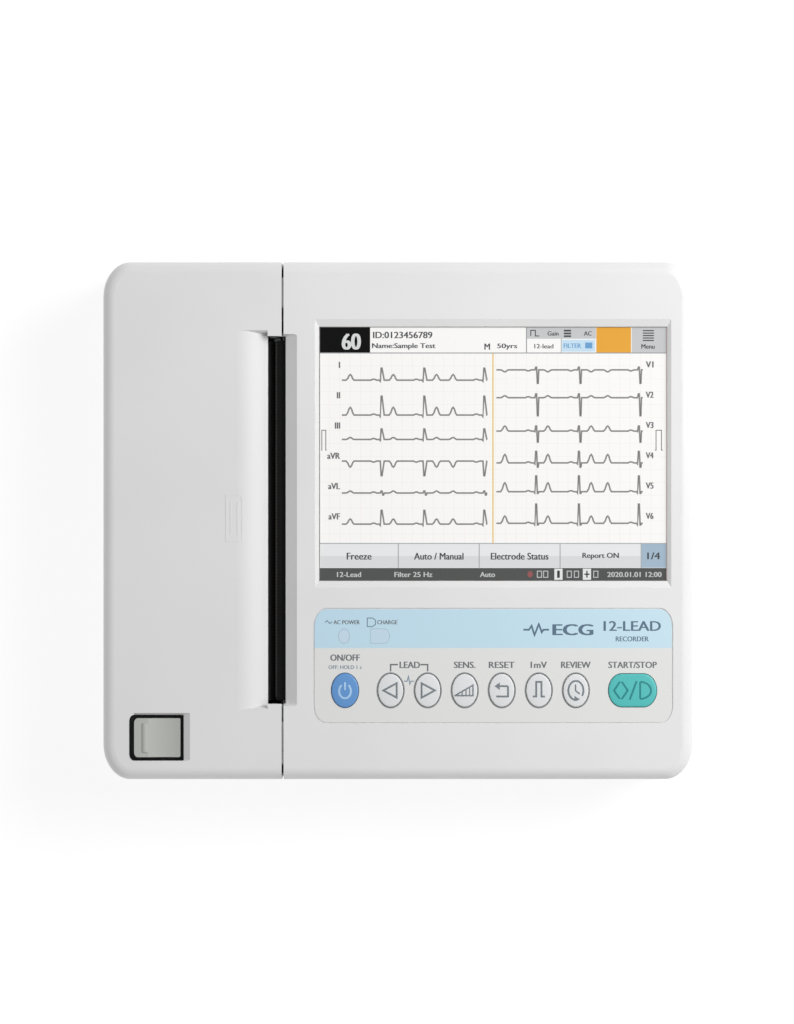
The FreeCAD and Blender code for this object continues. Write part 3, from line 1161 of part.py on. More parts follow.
def ac_inlet():
    """A three-pole mains inlet: flange, body and the open cavity around the blades."""
    face = "body_d/2+rp_proud"
    pieces = [inlet_block("inlet_flange", "ac_w", "ac_t", ("body_d/2-wall", face)),
              inlet_block("inlet_body", "ac_w-1", "ac_t-1", (f"{face}-ac_deep", "body_d/2-wall+1"))]
    hollow = inlet_block("inlet_hollow", "ac_cav_w", "ac_cav_t", (f"{face}-ac_deep+ac_back", f"{face}+1"))
    return cut("ac_inlet", fuse("inlet_solid", pieces), [hollow])


def ac_inlet_pins():
    face = "body_d/2+rp_proud"
    y = (f"{face}-ac_deep+ac_back", f"{face}-ac_blade_tip")
    places = (("-ac_blade_x", "-ac_blade_z"), ("ac_blade_x", "-ac_blade_z"), ("0", "ac_earth_z"))
    blades = []
    for n, (x, z) in enumerate(places):
        blades.append(box(f"blade_{n}", (f"ac_x+{x}-ac_blade_w/2", f"ac_x+{x}+ac_blade_w/2"), y,
                          (f"ac_z+{z}-ac_blade_t/2", f"ac_z+{z}+ac_blade_t/2")))
    return group("ac_inlet_pins", blades)


def equipotential_pin():
    pin = rod("earth_pin", "Y", "pot_r", ("pot_cup_y-4", "body_d/2+rp_proud-1"), "pot_x", "ac_z")
    nut = rod("earth_nut", "Y", "pot_base_r", ("pot_cup_y+2", "pot_cup_y+2+pot_base_t"), "pot_x", "ac_z")
    return fuse("equipotential_pin", [pin, nut])


def lan_port():
    """The network jack on its own small board, which runs back to the main board's level."""
    face = "body_d/2+rp_proud"
    shell = box("lan_shell", ("lan_x-lan_w/2", "lan_x+lan_w/2"), (f"{face}-lan_deep", face),
                ("main_z-lan_t", "main_z"))
    foot = box("lan_board", ("lan_x-lan_w", "lan_x+lan_w"), (f"{face}-lan_deep-8", "rp_flange_y-1"),
               ("main_z", "main_z+board_t"))
    cavity = box("lan_cavity", ("lan_x-lan_cav_w/2", "lan_x+lan_cav_w/2"),
                 (f"{face}-lan_cav_deep", f"{face}+1"),
                 ("main_z-lan_t/2-lan_cav_t/2", "main_z-lan_t/2+lan_cav_t/2"))
    return cut("lan_port", fuse("lan_solid", [shell, foot]), [cavity])


def usb_ports():
    """Two USB sockets, opening to the right, hung under the main board."""
    face = "body_w/2+side_proud"
    made = []
    for n in (0, 1):
        y = f"usb_y-{n}*usb_pitch"
        y_at = (f"{y}-usb_w/2", f"{y}+usb_w/2")
        shell = box(f"usb_shell_{n}", (f"{face}-usb_deep", face), y_at,
                    ("port_z-usb_t/2", "port_z+usb_t/2"))
        foot = box(f"usb_foot_{n}", (f"{face}-usb_deep", "main_x1"), y_at, ("port_z", "main_z"))
        cavity = box(f"usb_cavity_{n}", (f"{face}-usb_cav_deep", f"{face}+1"),
                     (f"{y}-usb_cav_w/2", f"{y}+usb_cav_w/2"), ("port_z-usb_cav_t/2", "port_z+usb_cav_t/2"))
        tongue = box(f"usb_tongue_{n}", (f"{face}-usb_cav_deep-1", f"{face}-1"),
                     (f"{y}-usb_tongue_w/2", f"{y}+usb_tongue_w/2"),
                     ("port_z+0.3", "port_z+0.3+usb_tongue_t"))
        made.append(fuse(f"usb_{n}",
                         [cut(f"usb_open_{n}", fuse(f"usb_solid_{n}", [shell, foot]), [cavity]), tongue]))
    return group("usb_ports", made)


def patient_connector():
    """The 15-way socket for the patient lead: a metal plate, a shell and 15 contacts' holes."""
    face = "body_w/2+side_proud"
    inner = "body_w/2-wall"
    plate_ = box("ecg_plate", (f"{inner}-ecg_plate_t", inner),
                 ("ecg_y-ecg_plate_w/2", "ecg_y+ecg_plate_w/2"),
                 ("port_z-ecg_plate_h/2", "main_z"))
    shell = box("ecg_shell", (f"{face}-ecg_deep", face), ("ecg_y-ecg_w/2", "ecg_y+ecg_w/2"),
                ("port_z-ecg_t/2", "port_z+ecg_t/2"))
    cuts = []
    for row, count in ((0, 8), (1, 7)):
        for n in range(count):
            y = f"ecg_y+({n}-({count}-1)/2)*contact_step"
            cuts.append(rod(f"contact_{row}_{n}", "X", "contact_r", (f"{face}-4", f"{face}+1"), y,
                            f"port_z+(0.5-{row})*contact_step"))
    for n in (-1, 1):
        cuts.append(rod(f"ecg_plate_hole_{n}", "X", "jack_bore", (f"{inner}-2", f"{inner}+1"),
                        f"ecg_y+{n}*post_pitch/2", "port_z"))
    return cut("patient_connector", fuse("ecg_solid", [plate_, shell]), cuts)


def connector_jackposts():
    posts = []
    for n in (-1, 1):
        y = f"ecg_y+{n}*post_pitch/2"
        post = rod(f"post_{n}", "X", "jack_r", ("body_w/2-wall", "body_w/2+side_proud"), y, "port_z")
        tail = rod(f"tail_{n}", "X", "jack_bore", ("body_w/2-wall-4", "body_w/2-wall+0.5"), y, "port_z")
        hole = rod(f"thread_{n}", "X", "jack_bore-0.2", ("body_w/2-wall+1", "body_w/2+2"), y, "port_z")
        posts.append(cut(f"jackpost_{n}", fuse(f"jack_solid_{n}", [post, tail]), [hole]))
    return group("connector_jackposts", posts)


# ---------------------------------------------------------------- the assembly

def build():
    """Makes every sub-part and returns them by node name."""
    gears, idler, motor = gear_train()
    coils = springs()
    z_glass = ("top_z-skin-gasket_t-glass_t", "top_z-skin-gasket_t")
    parts = [
        bottom_case(), top_case(), rear_panel(), rubber_feet(), screws(), paper_cover(), cover_liner(),
        display_gasket(), window_block("display_glass", "glass_in", z_glass), lcd_module(), lcd_bracket(),
        panel_overlay(), keypad_mat(), led_lenses(),
        plate("keypad_board", ("pan_x0+mat_in", "pan_x1-mat_in"), ("pan_y0+mat_in", "pan_y1-mat_in"),
              ("mat_z-board_t", "mat_z")),
        hinge_rod("hinge_pin", "pin_r", "0"),
        platen_brackets(), platen_bushes(), latch_housing(), latch_button(), latch_bar(),
        cut("platen_roller", rod("rubber", "Y", "plat_r", ("-plat_half", "plat_half"), "plat_x", "plat_z"),
            [rod("rubber_bore", "Y", "shaft_r", ("-plat_half-1", "plat_half+1"), "plat_x", "plat_z")]),
        rod("platen_shaft", "Y", "shaft_r", ("shaft_front", "shaft_back"), "plat_x", "plat_z"),
        printer_chassis(idler, motor), stepper_motor(motor),
        rod("idler_shaft", "Y", "idler_pin", ("side_y", "gear_y1+1"), idler[0], idler[1]),
        rod("motor_shaft", "Y", "motor_shaft", ("side_y-motor_len+2", "gear_y1+1"), motor[0], motor[1]),
        rod("head_pivot_shaft", "Y", "head_pin_r", ("-head_pin_y", "head_pin_y"), "head_pin_x",
            "head_pin_z"),
        box("thermal_head", ("head_x", "head_x+head_t"), ("-head_half", "head_half"),
            ("head_z0", "head_z1")),
        head_heatsink(), tear_bar(), paper_tray(), cover_switch(), head_ribbon_cable(),
        latch_keeper(), battery_door(),
        fillet("battery_pack", box("cells", ("bay_x0+cell_in", "bay_x1-cell_in"),
                                   ("bay_y0+cell_in", "bay_y1-cell_in"), ("cell_z0", "cell_z1")), "2",
                                   upright),
        speaker(), ac_inlet(), ac_inlet_pins(), equipotential_pin(), lan_port(), usb_ports(),
        patient_connector(), connector_jackposts(),
        board("main_board", ("main_x0", "main_x1"), ("main_y0", "main_y1"), "main_z", MAIN_CHIPS),
        board("power_board", ("psu_x0", "psu_x1"), ("psu_y0", "psu_y1"), "psu_z", PSU_CHIPS),
    ]
    return parts + keys() + gears + coils


def latch_keeper():
    """A folded steel angle on the printer's side that holds the end of the latch bar."""
    upright_ = box("keeper_web", ("keeper_x0", "keeper_x1"), ("bar_y0", "-side_y-side_t"),
                   ("keeper_z", "keeper_z+bar_t"))
    nose = box("keeper_nose", ("keeper_x0", "keeper_x0+bar_t"), ("bar_y0", "bar_y1"),
               ("bar_z-4", "keeper_z+bar_t/2"))
    return fuse("latch_keeper", [upright_, nose])


def check(parts):
    """Stops the build if anything in the document failed or a sub-part isn't a sound solid."""
    doc.recompute()
    bad = [o.Name for o in doc.Objects if {"Invalid", "Error"} & set(o.State)]
    for part in parts:
        shape = part.Shape
        if shape.isNull() or not shape.isValid() or not shape.Solids:
            bad.append(part.Label)
    if bad:
        raise SystemExit("failed: " + ", ".join(bad))


def export(parts):
    os.makedirs("parts", exist_ok=True)
    for part in parts:
        part.Shape.exportStep(f"parts/{part.Label}.step")


fill_sheet()
PARTS = build()
check(PARTS)
export(PARTS)
print(len(PARTS), "sub-parts")
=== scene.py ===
import json
import math

import bmesh
import bpy
from mathutils import Matrix, Vector


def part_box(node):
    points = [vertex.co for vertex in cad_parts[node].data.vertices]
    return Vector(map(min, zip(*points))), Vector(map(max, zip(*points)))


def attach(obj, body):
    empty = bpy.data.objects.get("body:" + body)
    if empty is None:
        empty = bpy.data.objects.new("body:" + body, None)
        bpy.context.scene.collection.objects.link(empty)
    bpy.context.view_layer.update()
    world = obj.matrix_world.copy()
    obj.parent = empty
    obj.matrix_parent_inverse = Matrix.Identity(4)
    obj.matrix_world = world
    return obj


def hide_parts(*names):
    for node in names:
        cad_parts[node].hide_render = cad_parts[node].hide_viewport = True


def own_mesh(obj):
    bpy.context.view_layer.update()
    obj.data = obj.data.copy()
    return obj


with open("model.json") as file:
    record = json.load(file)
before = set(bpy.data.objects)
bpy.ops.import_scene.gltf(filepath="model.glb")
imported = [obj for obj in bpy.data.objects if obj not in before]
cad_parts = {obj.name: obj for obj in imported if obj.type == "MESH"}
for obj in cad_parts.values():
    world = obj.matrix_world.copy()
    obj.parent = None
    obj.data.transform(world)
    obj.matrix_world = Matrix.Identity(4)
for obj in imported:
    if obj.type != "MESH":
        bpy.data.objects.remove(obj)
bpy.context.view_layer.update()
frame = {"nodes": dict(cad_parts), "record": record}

MM = 0.001
PLANE = 90 * MM     # height of the case's top, where the picture's scale is set


# ------------------------------------------------------------------ camera, floor and lights

CAMERA = Vector((-0.5 * MM, 5.3 * MM, 3.0))     # straight above the case
PICTURE = 624.6 * MM            # what the picture's long side takes in at PLANE
SENSOR = 36                     # the long side of the camera's film, in millimetres
FAR = 20                        # the camera sees nothing past this
FLOOR_HALF = 6
FLOOR_GREY = (160, 160, 160)
FLOOR_GLOW = 2.15               # turns the grey floor white and keeps its shadows faint
SKY_LEVEL = 0.37                # the sky's strength at the horizon
SKY_LEAN = (0.0, 0.03, 0.18)    # how that grows along X, Y and Z
LAMP_PLACE = Vector((0.8, 0.4, 1.0))
LAMP_AIM = Vector((0, 0, 50 * MM))
LAMP_SIDE = 0.8
LAMP_WATTS = 11.7


def make_camera():
    """A long lens straight above, as the product is seen in a catalogue."""
    data = bpy.data.cameras.new("camera")
    data.sensor_width = SENSOR
    data.lens = SENSOR * (CAMERA.z - PLANE) / PICTURE
    data.clip_end = FAR
    camera = bpy.data.objects.new("camera", data)
    camera.location = CAMERA
    bpy.context.scene.collection.objects.link(camera)
    bpy.context.scene.camera = camera


def make_floor():
    """A plain pale floor, far wider than the picture."""
    corners = [(x * FLOOR_HALF, y * FLOOR_HALF, 0) for x, y in ((-1, -1), (1, -1), (1, 1), (-1, 1))]
    mesh = bpy.data.meshes.new("floor")
    mesh.from_pydata(corners, [], [(0, 1, 2, 3)])
    mesh.materials.append(plain("floor_white", FLOOR_GREY, 0.8, glow=FLOOR_GLOW))
    floor = bpy.data.objects.new("floor", mesh)
    bpy.context.scene.collection.objects.link(floor)


def make_sky():
    """A white studio sky, brightest overhead."""
    world = bpy.data.worlds.new("studio")
    world.use_nodes = True
    tree = world.node_tree
    background = tree.nodes["Background"]
    background.inputs["Color"].default_value = (1, 1, 1, 1)
    way = tree.nodes.new("ShaderNodeTexCoord").outputs["Generated"]
    lean = tree.nodes.new("ShaderNodeVectorMath")
    lean.operation = "DOT_PRODUCT"
    lean.inputs[1].default_value = SKY_LEAN
    tree.links.new(way, lean.inputs[0])
    level = tree.nodes.new("ShaderNodeMath")
    level.inputs[1].default_value = SKY_LEVEL
    tree.links.new(lean.outputs["Value"], level.inputs[0])
    tree.links.new(level.outputs[0], background.inputs["Strength"])
    bpy.context.scene.world = world


def make_lamp():
    """One large soft lamp above, to the right and a little behind."""
    data = bpy.data.lights.new("key_light", "AREA")
    data.size = LAMP_SIDE
    data.energy = LAMP_WATTS
    lamp = bpy.data.objects.new("key_light", data)
    lamp.location = LAMP_PLACE
    lamp.rotation_euler = (LAMP_AIM - LAMP_PLACE).to_track_quat("-Z", "Y").to_euler()
    bpy.context.scene.collection.objects.link(lamp)


def make_lights():
    make_sky()
    make_lamp()
    bpy.context.scene.view_settings.view_transform = "Standard"


# ------------------------------------------------------------------ materials

COAT_ROUGHNESS = 0.08
NOISE_LOW, NOISE_HIGH = 0.3, 0.7    # between these lies most of a noise


def linear(rgb):
    """Display colour, 0 to 255, as the linear colour that a shader takes."""
    parts = [c / 255 for c in rgb]
    return tuple(c / 12.92 if c <= 0.04045 else ((c + 0.055) / 1.055) ** 2.4 for c in parts) + (1,)


class Shader:
    """A principled material with the nodes that give it its grain and its variation."""

    def __init__(self, name, colour, roughness, metallic=0.0, glow=0.0, coat=0.0, specular=0.5):
        self.material = bpy.data.materials.new(name)
        self.material.use_nodes = True
        self.tree = self.material.node_tree
        self.main = self.tree.nodes["Principled BSDF"]
        self.colour = linear(colour)
        self.set("Base Color", self.colour)
        self.set("Roughness", roughness)
        self.set("Metallic", metallic)
        self.set("Specular IOR Level", specular)
        if coat:
            self.set("Coat Weight", coat)
            self.set("Coat Roughness", COAT_ROUGHNESS)
        if glow:
            self.set("Emission Color", self.colour)
            self.set("Emission Strength", glow)
        self.place = self.tree.nodes.new("ShaderNodeTexCoord").outputs["Object"]
        self.normal = None

    def set(self, socket, value):
        self.main.inputs[socket].default_value = value

    def join(self, output, target):
        self.tree.links.new(output, target)

    def noise(self, scale, detail=2.0, stretch=None):
        node = self.tree.nodes.new("ShaderNodeTexNoise")
        node.inputs["Scale"].default_value = scale
        node.inputs["Detail"].default_value = detail
        start = self.place
        if stretch:
            mapping = self.tree.nodes.new("ShaderNodeMapping")
            mapping.inputs["Scale"].default_value = stretch
            self.join(self.place, mapping.inputs["Vector"])
            start = mapping.outputs["Vector"]
        self.join(start, node.inputs["Vector"])
        return node.outputs["Fac"]

    def bump(self, height, strength, distance):
        node = self.tree.nodes.new("ShaderNodeBump")
        node.inputs["Strength"].default_value = strength
        node.inputs["Distance"].default_value = distance
        self.join(height, node.inputs["Height"])
        if self.normal:
            self.join(self.normal, node.inputs["Normal"])
        self.normal = node.outputs["Normal"]
        self.join(self.normal, self.main.inputs["Normal"])
        return self

    def spread(self, factor, low, high, start=NOISE_LOW, end=NOISE_HIGH):
        """factor, start to end, spread over low to high."""
        node = self.tree.nodes.new("ShaderNodeMapRange")
        node.inputs["From Min"].default_value = start
        node.inputs["From Max"].default_value = end
        node.inputs["To Min"].default_value = low
        node.inputs["To Max"].default_value = high
        self.join(factor, node.inputs["Value"])
        return node.outputs["Result"]

    def mix(self, factor, first, second):
        """A colour that goes from first to second with factor."""
        node = self.tree.nodes.new("ShaderNodeMix")
        node.data_type = "RGBA"
        for socket, value in ((6, first), (7, second)):
            if isinstance(value, tuple):
                node.inputs[socket].default_value = value
            else:
                self.join(value, node.inputs[socket])
        self.join(factor, node.inputs[0])
        return node.outputs[2]

    def blend(self, factor, first, second):
        """The base colour goes from first to second with factor."""
        self.join(self.mix(factor, first, second), self.main.inputs["Base Color"])

    def mottle(self, amount, scale):
        """Slight, broad unevenness of colour, as in moulded plastic."""
        dark = tuple(c * (1 - amount) for c in self.colour[:3]) + (1,)
        self.blend(self.spread(self.noise(scale), 0, 1), dark, self.colour)
        return self

    def patchy(self, low, high, scale):
        """Roughness that varies between low and high."""
        self.join(self.spread(self.noise(scale, 3), low, high), self.main.inputs["Roughness"])
        return self

    def grain(self, pitch, depth, strength=0.5):
        """A fine moulded texture: pitch and depth in metres."""
        return self.bump(self.noise(1 / pitch, 2), strength, depth)

    def brushed(self, pitch, depth, along="X"):
        """Fine scratches that run along X or Y."""
        stretch = {"X": (0.02, 1, 1), "Y": (1, 0.02, 1)}[along]
        return self.bump(self.noise(1 / pitch, 2, stretch), 0.4, depth)

    def done(self):
        return self.material


def plain(name, colour, roughness, **more):
    """A smooth matt surface."""
    return Shader(name, colour, roughness, **more).patchy(roughness - 0.05, roughness + 0.05, 40).done()


def moulded(name, colour, roughness=0.45, pitch=0.5 * MM, depth=0.02 * MM, **more):
    """Textured moulded plastic."""
    shader = Shader(name, colour, roughness, **more)
    return shader.mottle(0.03, 12).patchy(roughness - 0.06, roughness + 0.06, 25).grain(pitch, depth).done()


def metal(name, colour, roughness, along="X"):
    shader = Shader(name, colour, roughness, metallic=1.0).mottle(0.12, 60)
    shader.patchy(roughness - 0.08, roughness + 0.1, 90)
    return shader.brushed(0.3 * MM, 0.01 * MM, along).done()


def rubber(name, colour):
    return Shader(name, colour, 0.7).mottle(0.15, 80).grain(0.25 * MM, 0.02 * MM, 0.8).done()


def board_green(name):
    """Solder mask over copper: fine tracks show as darker and lighter lines."""
    shader = Shader(name, (22, 92, 60), 0.35, coat=0.3)
    tracks = shader.noise(350, 1, (1, 0.15, 1))
    shader.blend(shader.spread(tracks, 0, 1), linear((14, 70, 44)), linear((34, 118, 78)))
    return shader.grain(0.6 * MM, 0.02 * MM).done()


BAND = 23.6 * MM            # how far the panel's blue band comes forward from its back edge
BAND_BLUR = 0.15 * MM       # half the width over which blue turns into cream


def film(name):
    """The key panel's printed film: a pale blue band above cream, its blue painted paler towards the right
    as painted light.
    """
    shader = Shader(name, (226, 226, 224), 0.38)
    split = shader.tree.nodes.new("ShaderNodeSeparateXYZ")
    shader.join(shader.place, split.inputs[0])
    lo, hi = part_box("panel_overlay")
    # painted light: the blue band's colour grows paler from left to right, the side the lamp is on
    across = shader.spread(split.outputs["X"], 0, 1, lo.x, hi.x)
    blue = shader.mix(across, linear((191, 220, 236)), linear((198, 226, 238)))
    band_end = hi.y - BAND
    back = shader.spread(split.outputs["Y"], 0, 1, band_end - BAND_BLUR, band_end + BAND_BLUR)
    shader.blend(back, shader.colour, blue)
    return shader.grain(0.35 * MM, 0.008 * MM, 0.4).done()


def battery_wrap(name):
    """Glossy shrink film, slightly rippled."""
    shader = Shader(name, (40, 66, 116), 0.25, coat=0.5).mottle(0.1, 40)
    return shader.grain(3 * MM, 0.05 * MM).done()


def ceramic(name):
    shader = Shader(name, (74, 66, 60), 0.3, coat=0.2).mottle(0.06, 90)
    return shader.patchy(0.15, 0.28, 120).done()


def cable_film(name):
    return Shader(name, (214, 216, 220), 0.3).mottle(0.05, 100).grain(1 * MM, 0.01 * MM).done()


def ink(name, colour):
    return Shader(name, colour, 0.5).patchy(0.42, 0.55, 200).done()


def lit(name, colour, share):
    """A patch of the lit display, which shines more the paler it is. share of its brightness is glow."""
    bright = sum(colour) / (3 * 255)
    shine = 0.1 + 0.4 * bright
    shader = Shader(name, colour, 0.3, glow=share, coat=shine, specular=shine)
    shader.set("Base Color", tuple(c * (1 - share) for c in shader.colour[:3]) + (1,))
    return shader.patchy(0.26, 0.34, 60).done()


# ------------------------------------------------------------------ mesh helpers

ROUND = 48          # points round an oval
CORNER = 6          # pieces in a rounded corner
INK = 0.02 * MM     # thickness of a printed layer
STEP = 0.004 * MM   # how much higher a letter's second strike is than its first
BOLD = 1.3          # how much further apart the strikes of bold letters are
STRIKE = 0.04       # how far each strike of a letter is from the middle, as a share of its height
LETTER = 0.86       # how wide letters are drawn, as a share of the face's own width
MITRE = 0.45        # a sharp corner's mitre stays under half a line's width over this


def add_mesh(name, mesh, material, body="root", smooth=False):
    piece = bpy.data.objects.new(name, mesh)
    bpy.context.scene.collection.objects.link(piece)
    mesh.materials.append(material)
    if smooth:
        mesh.shade_smooth()
    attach(piece, body)
    return piece


def oval(x, y, rx, ry, count=ROUND):
    turns = [2 * math.pi * n / count for n in range(count)]
    return [(x + rx * math.cos(t), y + ry * math.sin(t)) for t in turns]


def pill(x, y, half, rx, ry, count):
    """Two half ovals, half apart from the middle on each side."""
    points = []
    for n in range(count):
        turn = 2 * math.pi * n / count
        side = half if math.cos(turn) >= 0 else -half
        points.append((x + side + rx * math.cos(turn), y + ry * math.sin(turn)))
    return points


def rounded(x0, x1, y0, y1, r):
    """A rectangle with round corners."""
    points = []
    corners = ((x1 - r, y1 - r), (x0 + r, y1 - r), (x0 + r, y0 + r), (x1 - r, y0 + r))
    for quarter, (cx, cy) in enumerate(corners):
        for n in range(CORNER + 1):
            turn = math.pi / 2 * (quarter + n / CORNER)
            points.append((cx + r * math.cos(turn), cy + r * math.sin(turn)))
    return points


def loft(name, loops, material, body="root"):
    """A smooth solid through loops of equal count, each a list of x, y, z, with both ends closed."""
    mesh = bpy.data.meshes.new(name)
    shape = bmesh.new()
    rows = [[shape.verts.new(p) for p in loop] for loop in loops]
    count = len(loops[0])
    for low, high in zip(rows, rows[1:]):
        for n in range(count):
            m = (n + 1) % count
            shape.faces.new((low[n], low[m], high[m], high[n]))
    shape.faces.new(rows[0][::-1])
    shape.faces.new(rows[-1])
    bmesh.ops.recalc_face_normals(shape, faces=shape.faces)
    shape.to_mesh(mesh)
    shape.free()
    return add_mesh(name, mesh, material, body, smooth=True)


class Print:
    """Thin flat shapes of one colour, gathered into one piece."""

    def __init__(self, name, z, rise=INK):
        self.name, self.z, self.rise = name, z, rise
        self.shape = bmesh.new()

    def area(self, points):
        low = [self.shape.verts.new((x, y, self.z)) for x, y in points]
        high = [self.shape.verts.new((x, y, self.z + self.rise)) for x, y in points]
        self.shape.faces.new(low[::-1])
        self.shape.faces.new(high)
        for n in range(len(points)):
            m = (n + 1) % len(points)
            self.shape.faces.new((low[n], low[m], high[m], high[n]))

    def box(self, x0, x1, y0, y1):
        self.area([(x0, y0), (x1, y0), (x1, y1), (x0, y1)])

    def ring(self, outer, inner):
        """The band between two outlines with the same number of points."""
        count = len(outer)
        rows = []
        low, high = self.z, self.z + self.rise
        for points, z in ((outer, low), (outer, high), (inner, high), (inner, low)):
            rows.append([self.shape.verts.new((x, y, z)) for x, y in points])
        for a, b in zip(rows, rows[1:] + rows[:1]):
            for n in range(count):
                m = (n + 1) % count
                self.shape.faces.new((a[n], a[m], b[m], b[n]))

    def stroke(self, points, width, closed=False):
        """A line of even width through points, mitred at its corners."""
        count = len(points)
        left, right = [], []
        for n, point in enumerate(points):
            here = Vector(point)
            before = Vector(points[(n - 1) % count]) if closed or n else here
            after = Vector(points[(n + 1) % count]) if closed or n < count - 1 else here
            a = (here - before).normalized() if here != before else (after - here).normalized()
            b = (after - here).normalized() if here != after else a
            middle = (a + b).normalized() if (a + b).length > 0.01 else a
            side = Vector((-middle.y, middle.x))
            reach = width / 2 / max(side.dot(Vector((-a.y, a.x))), MITRE)
            left.append(tuple(here + side * reach))
            right.append(tuple(here - side * reach))
        if closed:
            self.ring(left, right)
            return
        for n in range(count - 1):
            self.area([right[n], right[n + 1], left[n + 1], left[n]])

    def text(self, words, x, y, height, width=None, align=0.5, heavy=1.0):
        """Words in the built-in face, with their feet at y, struck twice, heavy times as far apart as usual.

        They fill height and, if it's given, width. align is how much of them is left of x.
        """
        data = bpy.data.curves.new("words", "FONT")
        data.body = words
        data.resolution_u = 3
        data.extrude = 0.05
        shown = bpy.data.objects.new("words", data)
        bpy.context.scene.collection.objects.link(shown)
        bpy.context.view_layer.update()
        mesh = bpy.data.meshes.new_from_object(shown)
        xs = [v.co.x for v in mesh.vertices]
        ys = [v.co.y for v in mesh.vertices]
        tall = height / (max(ys) - min(ys))
        wide = width / (max(xs) - min(xs)) if width else tall * LETTER
        left = x - align * wide * (max(xs) - min(xs))
        for v in mesh.vertices:
            z = self.z + (self.rise if v.co.z > 0 else 0)
            v.co = (left + (v.co.x - min(xs)) * wide, y + (v.co.y - min(ys)) * tall, z)
        before = 0.0
        for shift in (-STRIKE * heavy, STRIKE * heavy):
            mesh.transform(Matrix.Translation(((shift - before) * height, 0, STEP)))
            self.shape.from_mesh(mesh)
            before = shift
        bpy.data.objects.remove(shown)
        bpy.data.curves.remove(data)
        bpy.data.meshes.remove(mesh)

    def done(self, material, body="root"):
        bmesh.ops.recalc_face_normals(self.shape, faces=self.shape.faces)
        mesh = bpy.data.meshes.new(self.name)
        self.shape.to_mesh(mesh)
        self.shape.free()
        return add_mesh(self.name, mesh, material, body)


def middle(node):
    """The middle of a CAD node's box."""
    lo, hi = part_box(node)
    return (lo + hi) / 2


def key_nodes():
    return [name for name in frame["nodes"] if name.startswith("key_")]


# ------------------------------------------------------------------ materials of the CAD nodes

def make_materials():
    """One material for each of the record's material slots."""
    looks = {
        "cover_shell": moulded("cover_shell", (228, 228, 228)),
        "top_shell": moulded("top_shell", (230, 230, 230)),
        "base_shell": moulded("base_shell", (222, 222, 222)),
        "dark_plastic": moulded("dark_plastic", (44, 44, 46), 0.5),
        "inner_plastic": moulded("inner_plastic", (104, 106, 108), 0.5),
        "grey_plastic": moulded("grey_plastic", (184, 187, 181), 0.45),
        "panel_film": film("panel_film"),
        "lens": Shader("lens", (196, 220, 236), 0.25, coat=0.6).patchy(0.2, 0.3, 300).done(),
        "silicone": rubber("silicone", (150, 152, 154)),
        "rubber_black": rubber("rubber_black", (30, 30, 31)),
        "foam_black": rubber("foam_black", (38, 38, 38)),
        "touch_glass": Shader("touch_glass", (46, 48, 50), 0.12, coat=0.8).patchy(0.1, 0.16, 30).done(),
        "lcd_frame": metal("lcd_frame", (190, 192, 194), 0.35),
        "board_green": board_green("board_green"),
        "steel": metal("steel", (188, 190, 192), 0.34),
        # the tear bar's black coat, made near-black and dull so that it also stands in for the shade down
        # the paper slot: partly painted shade
        "black_steel": moulded("black_steel", (9, 9, 9), 0.6, specular=0.15),
        "spring_steel": metal("spring_steel", (170, 172, 174), 0.28, "Y"),
        "aluminium": metal("aluminium", (205, 207, 209), 0.4, "Y"),
        "brass": metal("brass", (206, 176, 110), 0.3),
        "ceramic": ceramic("ceramic"),
        "battery_wrap": battery_wrap("battery_wrap"),
        "acetal": moulded("acetal", (228, 226, 216), 0.35),
        "cable_film": cable_film("cable_film"),
        "key_grey": moulded("key_grey", (226, 227, 228), 0.4),
        "key_blue": moulded("key_blue", (98, 152, 212), 0.4),
        "key_green": moulded("key_green", (80, 190, 187), 0.4),
    }
    for part in frame["record"]["subparts"]:
        node = frame["nodes"][part["node"]]
        for slot in node.material_slots:
            slot.material = looks[part["material_slot"]]
    return looks


# ------------------------------------------------------------------ keys

KEY_POINTS = 64
KEY_FOOT = 1.2 * MM         # how far a key goes on below its flange
KEY_FLANGE = 1.2 * MM       # the flange's width and its thickness
KEY_SINK = 0.06 * MM        # how much lower a dome's middle is than the CAD cap
KEY_RISE = 0.45 * MM        # how much a dome's middle stands above its shoulder
SIGN_LIFT = 0.03 * MM       # a sign's underside over the dome
START_HALF = 6.5 * MM       # half of the start key's straight stretch
# A loop's size, as a share of the key's, and for the shoulder its depth, in millimetres.
SHOULDER = ((1, 1.08), (1, 0.73), (0.996, 0.43), (0.985, 0.2), (0.965, 0.06))
DOME = (0.93, 0.86, 0.76, 0.62, 0.46, 0.3, 0.14, 0.04)


